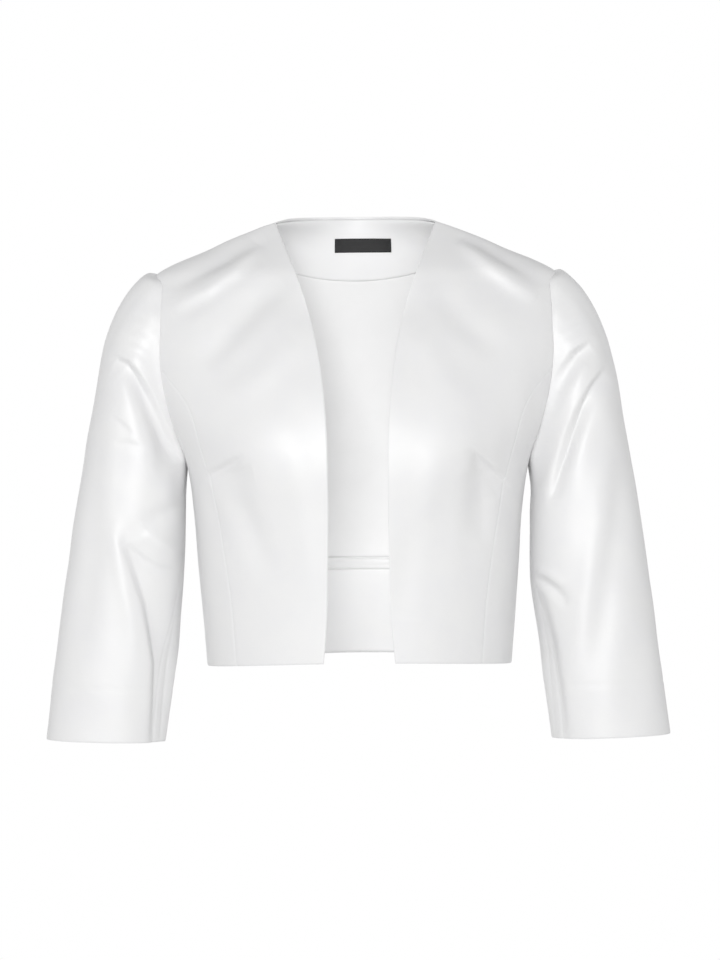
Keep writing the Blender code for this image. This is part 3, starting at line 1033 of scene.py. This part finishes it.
@dataclass
class NeckLabel(ClothPiece):
    """The bare woven label across the inside of the neck, turned in at its two ends."""

    centre: tuple[float, float] = (7.5, -15.2)
    size: tuple[float, float] = (58.0, 14.0)
    steps: tuple[int, int] = (40, 12)
    lying: float = 3.9
    # Where the turned-in ends stop, how much thicker they are, and where the cloth thins out at the rim
    turned_end: tuple[float, float] = (4.0, 5.0)
    turned_share: float = 0.5
    rim_rise: tuple[float, float] = (-0.6, 0.7)

    def make(self, cut: Cut, seams: Seams) -> bpy.types.Object:
        """Makes the label over the facing, with more cloth where its ends are turned in.

        Args:
            cut: where the seams run.
            seams: the seams by name, not used.

        Returns:
            The dressed object.
        """
        u, v = (stations(count, length) for count, length in zip(self.steps, self.size))
        x = self.centre[0] + self.size[0] * (u - 0.5)[None, :]
        z = self.centre[1] + self.size[1] * (0.5 - v)[:, None] + 0 * x
        angle = -cut.figure.angle_at_x(np.abs(x), z)
        angle = np.where(x < 0, -math.pi - angle, angle)
        points, normals = cut.figure.skin(np.stack([angle, z], axis=-1))
        gaps = distances(points)
        ends = np.minimum(gaps[2], gaps[3])
        layers = 1 + self.turned_share * smooth_step(self.turned_end[1], self.turned_end[0], ends)
        rim = smooth_step(*self.rim_rise, np.min(np.stack(gaps), axis=0))
        shown = self.lying + self.thickness * layers * rim
        return self.dress(points - normals * self.lying, points - normals * shown[..., None])


@dataclass
class Sleeve(ClothPiece):
    """A one-piece sleeve, eased into the armhole and seamed under the arm."""

    side: int = 1
    steps: tuple[int, int] = (172, 224)
    length: float = 460.0
    outer_line: Line = ()
    inner_line: Line = ()
    # Share of the length, half depth, and how far back the sleeve's middle lies, negative towards the front
    depth_line: tuple[tuple[float, float, float], ...] = (
        (0.0, 47.0, 2.0),
        (0.15, 50.0, 1.0),
        (0.35, 50.0, 0.0),
        (0.6, 47.0, -6.0),
        (1.0, 37.0, -20.0),
    )
    # How the rows crowd towards the armhole on the outer and on the inner outline
    outer_spread: float = 1.25
    inner_spread: float = 1.6
    # Share of the length over which the armhole's own shape fades out, and over which the folds fade in
    head_share: float = 0.3
    smooth_head: float = 0.12
    # Room kept from the body's side, with a small gap besides, from this far below the shoulder tip
    room: float = 7.0
    lying_gap: float = 0.5
    clear_below: float = 60.0
    # Turn of the inseam towards the front by the cuff, in radians
    inseam_turn: float = 0.55
    # The line of the hem: its height over the cuff's edge, its depth and its width
    hem_allowance: float = 52.0
    hem_dip: float = 0.3
    hem_dip_width: float = 1.6
    # Distance from the armhole over which the normals follow the body's
    blend: float = 5.0
    # The eased head: number of puckers round the sleeve, their depth and how far down they reach
    puckers: int = 15
    pucker_depth: float = 0.55
    pucker_length: float = 13.0

    def along(self, line: Line, shares: np.ndarray) -> np.ndarray:
        """Points at shares of the length of an outline.

        Args:
            line: height and distance from the centre.
            shares: shares of its length.

        Returns:
            Points with no depth.
        """
        rows = np.array(line)
        places, dense = np.linspace(0, 1, len(rows)), np.linspace(0, 1, OUTLINE_POINTS)
        x, z = smooth_curve(places, rows[:, 1], dense), smooth_curve(places, rows[:, 0], dense)
        length = np.concatenate([[0], np.cumsum(np.hypot(np.diff(x), np.diff(z)))])
        place = shares * length[-1]
        return np.stack([np.interp(place, length, x), 0 * place, np.interp(place, length, z)], axis=-1)

    def rings(self, cut: Cut, seams: Seams) -> tuple[np.ndarray, ...]:
        """Rings from the armhole to the cuff, on the wearer's left.

        Args:
            cut: where the seams run.
            seams: the seams by name.

        Returns:
            The rings, the turn of each column, the share of each row, and the body's normals at the armhole.
        """
        v = stations(self.steps[0], self.length)
        turn = np.linspace(0, 2 * math.pi, self.steps[1], endpoint=False)
        share = v**self.outer_spread
        shoulder_rows, arm_rows = cut.rows[:2]
        step = turn / math.pi * arm_rows
        front = np.where(
            (step <= shoulder_rows)[:, None],
            seams["upper"].at(np.clip(step / shoulder_rows, 0, 1)),
            seams["lower"].at(np.clip((step - shoulder_rows) / (arm_rows - shoulder_rows), 0, 1)),
        )
        back = seams["back"].at(np.clip(2 - turn / math.pi, 0, 1))
        ring = np.where((turn <= math.pi)[:, None], front, back)
        armhole = cut.figure.surface(ring[:, 0], ring[:, 1])
        outer, inner = self.along(self.outer_line, share), self.along(self.inner_line, v**self.inner_spread)
        rows = np.array(self.depth_line)
        half_depth = smooth_curve(rows[:, 0], rows[:, 1], share)
        back_by = smooth_curve(rows[:, 0], rows[:, 2], share)
        centre, reach = (outer + inner) / 2, (outer - inner) / 2
        rings = centre[:, None] + np.cos(turn)[None, :, None] * reach[:, None]
        rings[..., 1] += back_by[:, None] - np.sin(turn)[None] * half_depth[:, None]
        rings += (armhole - rings[0]) * (1 - smooth_step(0.0, self.head_share, share))[:, None, None]
        half_width, front_depth, back_depth, square = cut.figure.section(rings[..., 2])
        deep = np.clip(np.abs(rings[..., 1]) / np.where(rings[..., 1] < 0, front_depth, back_depth), 0, 1)
        clear = half_width * (1 - deep**square) ** (1 / square)
        clear = clear + self.room * smooth_step(0.0, 0.2, share)[:, None] + self.lying_gap
        beside = (rings[..., 2] < cut.shoulder_tip_z - self.clear_below) & (v > 0)[:, None]
        rings[..., 0] = np.where(beside, np.maximum(rings[..., 0], clear), rings[..., 0])
        return rings, turn, share, cut.figure.normal(ring[:, 0], ring[:, 1])

    def make(self, cut: Cut, seams: Seams) -> bpy.types.Object:
        """Makes the sleeve on its side.

        Args:
            cut: where the seams run.
            seams: the seams by name.

        Returns:
            The dressed object.
        """
        rings, turn, share, body_out = self.rings(cut, seams)
        rings, body_out = mirrored(rings, self.side), mirrored(body_out, self.side)
        around = np.roll(rings, -1, axis=1) - np.roll(rings, 1, axis=1)
        steps = np.linalg.norm(np.diff(rings, axis=0), axis=-1)
        down = np.concatenate([np.zeros((1, len(turn))), np.cumsum(steps, axis=0)])
        up = down[-1:] - down
        normals = self.blended(unit(np.cross(around, np.gradient(rings, axis=0))) * self.side, body_out, down)
        head = smooth_step(0.0, self.smooth_head, share)[:, None]
        depth = self.folds(rings, normals) * head + self.seam_dip * bump(down, self.seam_width)
        depth = depth + self.ease(turn, down)
        seam_turn = math.pi - self.inseam_turn * smooth_step(0.1, 0.9, share)[:, None]
        girth = np.linalg.norm(around, axis=-1).sum(axis=1, keepdims=True) / 2
        aside = np.abs(turn[None] - seam_turn) * girth / (2 * math.pi)
        depth = depth + self.seam_dip * bump(aside, self.seam_width)
        depth = depth + self.hem_dip * bump(up - self.hem_allowance, self.hem_dip_width)
        return self.dress(*self.wall(rings, normals, depth, bump(up, self.rim)), tube=True)

    def blended(self, normals: np.ndarray, body_out: np.ndarray, down: np.ndarray) -> np.ndarray:
        """Normals that meet those of the body where the sleeve is sewn on.

        Args:
            normals: the sleeve's own normals.
            body_out: the body's normals at the armhole.
            down: distance from the armhole.

        Returns:
            The blended normals.
        """
        shared = unit(body_out + normals[0])
        agree = smooth_step(0.1, 0.75, (body_out * normals[0]).sum(-1))[:, None]
        seam_out = unit(normals[0] * (1 - agree) + shared * agree)
        near = bump(down, self.blend)[..., None]
        return unit(normals * (1 - near) + seam_out[None] * near)

    def ease(self, turn: np.ndarray, down: np.ndarray) -> np.ndarray:
        """The small puckers where the head of the sleeve is eased into the armhole.

        Args:
            turn: turn of each column, from the shoulder tip round the front.
            down: distance from the armhole.

        Returns:
            The depth at each point.
        """
        wave = 0.5 - 0.5 * np.cos(turn * self.puckers + 0.8 * np.sin(turn * 5 + 0.4))
        high = 0.25 + 0.75 * np.clip(np.cos(turn), 0, 1) ** 0.5
        fade = smooth_step(0.0, 2.5, down) * bump(down, self.pucker_length)
        return self.pucker_depth * wave * high * fade


@dataclass(frozen=True)
class Softbox:
    """A rectangular studio light: its places and size in metres and its power in watts."""

    name: str
    place: tuple[float, float, float]
    target: tuple[float, float, float]
    size: tuple[float, float]
    power: float

    def hang(self) -> bpy.types.Object:
        """Hangs the light at its place, turned to its target.

        Returns:
            The light.
        """
        light = bpy.data.lights.new(self.name, "AREA")
        light.shape = "RECTANGLE"
        light.energy, light.size, light.size_y = self.power, *self.size
        box = bpy.data.objects.new(self.name, light)
        box.location = self.place
        box.rotation_euler = (Vector(self.target) - Vector(self.place)).to_track_quat("-Z", "Y").to_euler()
        bpy.context.scene.collection.objects.link(box)
        return box


@dataclass
class Studio:
    """The pale floor, the soft lights and the camera, in metres.

    The surround's rows are a share of the way from the camera's side to behind the jacket, and the strength
    of the white light that comes from there.
    """

    floor_z: float = -1.45
    floor_size: float = 7.0
    paper: str = "#F3F3F2"
    surround: Line = ((0.0, 0.84), (0.5, 0.78), (0.72, 0.66), (1.0, 1.0))
    ceiling: float = 0.45
    ceiling_rise: tuple[float, float] = (0.2, 0.9)
    key: Softbox = Softbox("softbox_key", (-0.45, -3.1, 0.6), (0.0, 0.0, -0.25), (0.8, 0.8), 31.0)
    fill: Softbox = Softbox("softbox_fill", (0.1, -3.2, -0.45), (0.0, 0.0, -0.25), (0.9, 1.1), 9.0)
    inside: Softbox = Softbox("inside_light", (0.0, -0.08, -0.25), (0.0, 1.0, -0.25), (0.05, 0.4), 0.14)
    camera_place: tuple[float, float, float] = (0.0021, -3.0, -0.251)
    camera_roll: float = 0.55
    lens: float = 114.8
    sensor: float = 36.0

    def build(self) -> None:
        """Places floor, lights and camera."""
        self.lay_floor()
        self.light_surround()
        self.key.hang()
        self.fill.hang()
        # A weak light that brightens the lining, kept out of the camera's view
        self.inside.hang().visible_camera = False
        self.place_camera()

    def lay_floor(self) -> None:
        """Lays a plain paper floor below the jacket."""
        half = self.floor_size / 2
        mesh = bpy.data.meshes.new("studio_floor")
        corners = [(-half, -half), (half, -half), (half, half), (-half, half)]
        mesh.from_pydata([(x, y, self.floor_z) for x, y in corners], [], [(0, 1, 2, 3)])
        floor = bpy.data.objects.new("studio_floor", mesh)
        bpy.context.scene.collection.objects.link(floor)
        material = bpy.data.materials.new("matt_paper")
        material.use_nodes = True
        shader = material.node_tree.nodes["Principled BSDF"]
        shader.inputs["Base Color"].default_value = linear(self.paper)
        shader.inputs["Roughness"].default_value = 0.9
        mesh.materials.append(material)

    def light_surround(self) -> None:
        """Fills the studio with white light, brightest behind the jacket and dimmer from above."""
        world = bpy.data.worlds.new("studio_surround")
        world.use_nodes = True
        tree = world.node_tree
        heading = add_node(tree, "ShaderNodeTexCoord").outputs["Generated"]
        parts = add_node(tree, "ShaderNodeSeparateXYZ", links={"Vector": heading})
        share = add_node(
            tree,
            "ShaderNodeMapRange",
            values={"From Min": -1.0, "From Max": 1.0, "To Min": 0.0, "To Max": 1.0},
            links={"Value": parts.outputs["Y"]},
        )
        level = add_node(tree, "ShaderNodeValToRGB", links={"Fac": share.outputs["Result"]})
        level.color_ramp.interpolation = "EASE"
        stops = level.color_ramp.elements
        for place, _ in self.surround[1:-1]:
            stops.new(place)
        for (place, strength), stop in zip(self.surround, stops):
            stop.position, stop.color = place, (strength, strength, strength, 1.0)
        ceiling = add_node(
            tree,
            "ShaderNodeMapRange",
            settings={"interpolation_type": "SMOOTHSTEP"},
            values={
                "From Min": self.ceiling_rise[0],
                "From Max": self.ceiling_rise[1],
                "To Min": 1.0,
                "To Max": self.ceiling,
            },
            links={"Value": parts.outputs["Z"]},
        )
        tree.links.new(ceiling.outputs["Result"], tree.nodes["Background"].inputs["Strength"])
        tree.links.new(level.outputs["Color"], tree.nodes["Background"].inputs["Color"])
        bpy.context.scene.world = world
        bpy.context.scene.view_settings.view_transform = "Standard"

    def place_camera(self) -> None:
        """Sets the camera level in front of the jacket, with the photograph's slight roll."""
        camera = bpy.data.cameras.new("camera")
        camera.lens, camera.sensor_width = self.lens, self.sensor
        view = bpy.data.objects.new("camera", camera)
        view.location = self.camera_place
        view.rotation_euler = (math.pi / 2, math.radians(self.camera_roll), 0.0)
        bpy.context.scene.collection.objects.link(view)
        bpy.context.scene.camera = view


@dataclass
class Jacket:
    """The whole bolero: its cut, its fabrics and its pieces."""

    cut: Cut = field(default_factory=lambda: Cut(Figure()))

    def fabrics(self) -> dict[str, bpy.types.Material]:
        """The jacket's fabrics.

        Returns:
            The materials by slot.
        """
        # Duchess satin, a heavy silk-like weave with long warp floats: smooth, with a broad soft gloss and
        # fine crosswise threads. The real threads lie 0.15 mm apart, drawn here at 0.9 mm so that they show.
        satin = WovenFinish(
            "duchess_satin_white", colour="#EAEAEA", shade="#E8E8E9", roughness=0.46, ior=1.5, specular=1.0,
            sheen=0.05, thread_mm=0.9, thread_relief=0.04, slub_mm=30.0, slub_relief=0.03,
        )
        # Lining satin, a light acetate weave: a little duller than the satin, with the same fine threads
        lining = WovenFinish(
            "acetate_lining_white", colour="#ECECEC", shade="#EAEAEA", roughness=0.5, ior=1.47, specular=0.7,
            sheen=0.05, thread_mm=0.8, thread_relief=0.03, slub_mm=24.0, slub_relief=0.03,
        )
        # Taffeta label tape, black: a flat rib with almost no gloss
        tape = WovenFinish(
            "taffeta_label_black", colour="#111113", shade="#0B0B0D", roughness=0.6, ior=1.5, specular=0.5,
            sheen=0.2, thread_mm=0.6, thread_relief=0.06, slub_mm=9.0, slub_relief=0.04,
        )
        return {"satin": satin.material(), "lining": lining.material(), "label": tape.material()}

    def pieces(self) -> list[ClothPiece]:
        """Cuts all pieces from their fabrics.

        Returns:
            The pieces, in the order of making.
        """
        cloth = self.fabrics()
        satin, lining = cloth["satin"], cloth["lining"]
        made: list[ClothPiece] = []
        for side, word, outer, inner in (
            (1, "left", LEFT_SLEEVE_OUTER, LEFT_SLEEVE_INNER),
            (-1, "right", RIGHT_SLEEVE_OUTER, RIGHT_SLEEVE_INNER),
        ):
            front, beside, arm = f"front_{word}", f"side_{word}", f"sleeve_{word}"
            made.append(FrontPanel(
                f"front_panel_{word}", front, "satin", satin, (0.215, 0.47), 0.056, (beside, "back"),
                creases=BODY_CREASES[word], side=side,
            ))
            made.append(SidePanel(
                f"side_panel_{word}", beside, "satin", satin, (0.09, 0.30), 0.019, (front, "back"),
                creases=BODY_CREASES[word], side=side,
            ))
            made.append(Sleeve(
                f"sleeve_panel_{word}", arm, "satin", satin, (0.36, 0.47), 0.12, (front, beside, "back"),
                creases=SLEEVE_CREASES[word], slack=Slack(0.35, 23), side=side, outer_line=outer,
                inner_line=inner,
            ))
        made.append(BackPanel(
            "back_panel", "back", "satin", satin, (0.50, 0.46), 0.178, ("side_left", "side_right"),
            creases=BACK_CREASES,
        ))
        made.append(InsidePiece(
            "neck_facing", "back_neck_facing", "satin", satin, (0.30, 0.10), 0.018, ("back",),
            thickness=1.7, slack=Slack(0.15, 3), creases=BACK_CREASES, first_row=0.0, last_row=FACING_END,
            lying=2.0, edges=(Edge.FOLDED, Edge.FOLDED, Edge.SEAM, Edge.SEAM),
        ))
        made.append(InsidePiece(
            "lining_back", "back_lining", "lining", lining, (0.47, 0.34), 0.115, ("back_neck_facing", "back"),
            thickness=LINING_THICKNESS, slack=Slack(0.5, 5), creases=BACK_CREASES, first_row=FACING_END,
            last_row=30.3, lying=2.0, trim=0.03, edges=(Edge.SEAM, Edge.HIDDEN, Edge.HIDDEN, Edge.HIDDEN),
        ))
        made.append(InsidePiece(
            "waist_pleat", "back_waist_pleat", "lining", lining, (0.39, 0.017), 0.006, ("back_lining",),
            thickness=LINING_THICKNESS, slack=Slack(0.1, 5, 30.0, 60.0), creases=BACK_CREASES,
            first_row=29.7, last_row=30.75, lying=3.0, trim=0.03,
            ripples=((1.4, 1.0, 1.0), (6.4, 1.2, 1.4), (11.2, 1.1, 1.0)),
            edges=(Edge.FOLDED, Edge.FOLDED, Edge.HIDDEN, Edge.HIDDEN),
        ))
        made.append(InsidePiece(
            "hem_facing", "back_hem_facing", "satin", satin, (0.39, 0.085), 0.032, ("back",),
            thickness=1.0, slack=Slack(0.2, 9), creases=BACK_CREASES, first_row=30.6, last_row=37.0,
            lying=2.0, trim=0.03, edges=(Edge.SEAM, Edge.FOLDED, Edge.HIDDEN, Edge.HIDDEN),
        ))
        made.append(NeckLabel(
            "label_tape", "neck_label", "label", cloth["label"], (0.058, 0.014), 0.0008,
            ("back_neck_facing",), thickness=0.6,
        ))
        return made


# Outlines of the sleeves seen from the front: height, distance from the centre
LEFT_SLEEVE_OUTER = (
    (-47.0, 193.7),
    (-46.5, 201.0),
    (-53.0, 209.8),
    (-65.8, 221.5),
    (-86.4, 233.9),
    (-109.9, 243.4),
    (-133.4, 249.9),
    (-156.9, 255.4),
    (-192.2, 260.7),
    (-227.5, 267.1),
    (-286.3, 276.0),
    (-356.8, 285.0),
    (-427.4, 293.2),
    (-500.0, 301.8),
)
RIGHT_SLEEVE_OUTER = (
    (-47.0, 193.7),
    (-46.5, 203.5),
    (-53.0, 212.5),
    (-65.8, 223.4),
    (-86.4, 235.5),
    (-109.9, 244.7),
    (-133.4, 250.9),
    (-156.9, 255.2),
    (-192.2, 261.6),
    (-227.5, 268.0),
    (-286.3, 277.7),
    (-356.8, 287.8),
    (-427.4, 297.0),
    (-500.0, 305.3),
)
LEFT_SLEEVE_INNER = (
    (-237.0, 166.5),
    (-263.0, 169.3),
    (-286.3, 168.2),
    (-333.3, 167.6),
    (-356.8, 168.4),
    (-403.9, 174.8),
    (-450.9, 179.6),
    (-503.5, 186.4),
)
RIGHT_SLEEVE_INNER = (
    (-237.0, 166.5),
    (-263.0, 168.6),
    (-286.3, 169.0),
    (-333.3, 170.6),
    (-356.8, 171.8),
    (-403.9, 175.9),
    (-450.9, 181.9),
    (-503.5, 190.1),
)

# Folds: (x, z) points of the crease line, depth, and width on the left and the right of the line as it runs.
# Dents have a positive depth, and cloth that stands out a negative one.
BODY_CREASES = {
    "left": (
        Crease(((97, -12), (123, -25), (147, -40), (170, -54)), 3.0, 9.0, 7.0),
        Crease(((102, -18), (127, -44), (151, -62), (175, -76)), -4.8, 13.0, 7.5),
        Crease(((111, -226), (126, -239), (141, -253)), 5.0, 2.0, 8.0, ends=0.3),
        Crease(((109, -234), (124, -249), (136, -270)), 3.4, 6.0, 13.0),
        Crease(((114, -243), (119, -270), (117, -313)), 4.4, 10.0, 16.0),
        Crease(((53, -289), (46, -336), (42, -384)), 1.6, 15.0, 15.0),
        Crease(((75, -219), (68, -251), (62, -289)), -1.4, 13.0, 13.0),
        Crease(((77, -71), (101, -99), (137, -130)), 2.8, 14.0, 14.0),
        Crease(((57, -109), (85, -156), (109, -190)), -1.8, 15.0, 15.0),
    ),
    "right": (
        Crease(((-87, -16), (-112, -29), (-143, -45), (-172, -59)), 3.0, 7.0, 9.0),
        Crease(((-95, -20), (-116, -48), (-143, -67), (-178, -82)), -5.0, 7.5, 13.0),
        Crease(((-144, -245), (-130, -238), (-113, -229)), 3.4, 2.2, 6.5, ends=0.3),
        Crease(((-143, -253), (-123, -245), (-100, -240)), 3.0, 6.0, 15.0),
        Crease(((-127, -240), (-114, -270), (-99, -304), (-85, -342)), 3.2, 13.0, 13.0),
        Crease(((-64, -213), (-52, -270), (-46, -365)), -1.6, 14.0, 14.0),
        Crease(((-144, -257), (-138, -279), (-130, -313)), 1.2, 7.0, 7.0),
        Crease(((-69, -61), (-96, -83), (-125, -116), (-148, -139)), 3.6, 12.0, 14.0),
        Crease(((-88, -44), (-119, -66), (-165, -105)), -1.8, 12.0, 12.0),
        Crease(((-59, -118), (-89, -149), (-128, -177)), -1.7, 14.0, 14.0),
    ),
}
SLEEVE_CREASES = {
    "left": (
        Crease(((226, -121), (210, -132), (198, -146), (187, -161), (180, -185)), 9.0, 11.0, 2.8),
        Crease(((241, -148), (227, -166), (214, -189), (203, -212), (193, -241),
                (187, -270)), 9.5, 10.0, 3.6),
        Crease(((224, -140), (208, -165), (194, -197)), -1.6, 8.0, 8.0),
        Crease(((192, -102), (201, -96), (211, -91)), 0.8, 4.0, 2.2),
        Crease(((192, -115), (204, -105), (218, -97)), 1.1, 4.0, 2.2),
        Crease(((193, -126), (207, -115), (222, -105)), 1.1, 4.0, 2.2),
        Crease(((241, -173), (239, -232), (235, -290), (219, -368), (200, -465)), -2.5, 12.0, 12.0),
        Crease(((258, -222), (246, -309), (234, -387), (223, -455)), 2.5, 13.0, 13.0),
        Crease(((172, -347), (187, -358), (201, -372)), 4.5, 6.0, 4.0),
        Crease(((170, -339), (184, -345), (197, -356)), -2.0, 5.0, 5.0),
        Crease(((173, -362), (183, -407), (190, -455), (196, -505)), 5.0, 6.0, 16.0, ends=0.3),
        Crease(((238, -135), (214, -172), (196, -210)), 5.0, 6.0, 9.0, Face.BACK),
        Crease(((246, -165), (224, -200), (208, -240)), -2.0, 8.0, 8.0, Face.BACK),
        Crease(((262, -305), (226, -335), (184, -352)), 5.0, 13.0, 8.0, Face.BACK),
        Crease(((266, -340), (234, -362), (204, -380)), -2.0, 9.0, 9.0, Face.BACK),
        Crease(((268, -330), (260, -400), (254, -470)), 2.5, 12.0, 12.0, Face.BACK),
    ),
    "right": (
        Crease(((-234, -131), (-222, -137), (-212, -149), (-201, -166), (-192, -185), (-183, -206),
                (-171, -232)), 10.0, 2.6, 13.0),
        Crease(((-224, -121), (-203, -138), (-187, -163)), -1.2, 8.0, 8.0),
        Crease(((-213, -88), (-204, -93), (-192, -101)), 0.8, 2.2, 4.0),
        Crease(((-215, -100), (-204, -107), (-192, -115)), 0.9, 2.2, 4.0),
        Crease(((-220, -111), (-208, -118), (-195, -124)), 0.9, 2.2, 4.0),
        Crease(((-224, -123), (-212, -126), (-200, -133)), 0.7, 2.2, 4.0),
        Crease(((-238, -187), (-229, -194), (-218, -204)), 1.5, 2.6, 6.0),
        Crease(((-235, -213), (-221, -213), (-205, -218)), 1.2, 2.6, 6.0),
        Crease(((-180, -173), (-184, -212), (-193, -261)), 2.0, 9.0, 9.0),
        Crease(((-223, -312), (-213, -339), (-203, -368), (-197, -399), (-193, -426), (-195, -461),
                (-198, -502)), 9.0, 22.0, 5.0, ends=0.3),
        Crease(((-223, -312), (-207, -325), (-194, -333), (-176, -339)), 2.4, 3.0, 8.0, ends=0.4),
        Crease(((-205, -298), (-190, -312), (-174, -323)), -3.0, 8.0, 8.0),
        Crease(((-207, -292), (-189, -282), (-169, -272)), 2.6, 8.0, 8.0),
        Crease(((-236, -290), (-231, -329), (-220, -378), (-215, -426)), -1.8, 8.0, 8.0),
        Crease(((-234, -173), (-239, -222), (-245, -290)), -1.5, 10.0, 10.0),
        Crease(((-253, -251), (-258, -329), (-269, -407)), 2.0, 12.0, 12.0),
        Crease(((-240, -140), (-212, -165), (-192, -205)), 5.0, 9.0, 6.0, Face.BACK),
        Crease(((-246, -165), (-222, -195), (-206, -235)), -2.0, 8.0, 8.0, Face.BACK),
        Crease(((-262, -290), (-225, -325), (-185, -345)), 5.0, 8.0, 13.0, Face.BACK),
        Crease(((-266, -330), (-232, -350), (-200, -372)), -2.0, 9.0, 9.0, Face.BACK),
        Crease(((-270, -320), (-262, -400), (-256, -470)), 2.5, 12.0, 12.0, Face.BACK),
    ),
}
BACK_CREASES = (
    Crease(((-150, -55), (-120, -120), (-96, -190)), 1.6, 18.0, 18.0, Face.BACK),
    Crease(((150, -55), (122, -120), (100, -190)), 1.6, 18.0, 18.0, Face.BACK),
    Crease(((-60, -230), (-50, -320), (-58, -420)), 2.0, 20.0, 20.0, Face.BACK),
    Crease(((66, -240), (54, -330), (60, -420)), 2.0, 20.0, 20.0, Face.BACK),
    Crease(((0, -200), (4, -300), (0, -420)), -1.5, 22.0, 22.0, Face.BACK),
)


def main() -> None:
    """Builds the jacket piece by piece, then the studio."""
    logging.basicConfig(level=logging.INFO, format="%(name)s: %(message)s")
    jacket = Jacket()
    seams = jacket.cut.seams()
    for piece in jacket.pieces():
        piece.make(jacket.cut, seams)
    Studio().build()


if __name__ == "__main__":
    main()
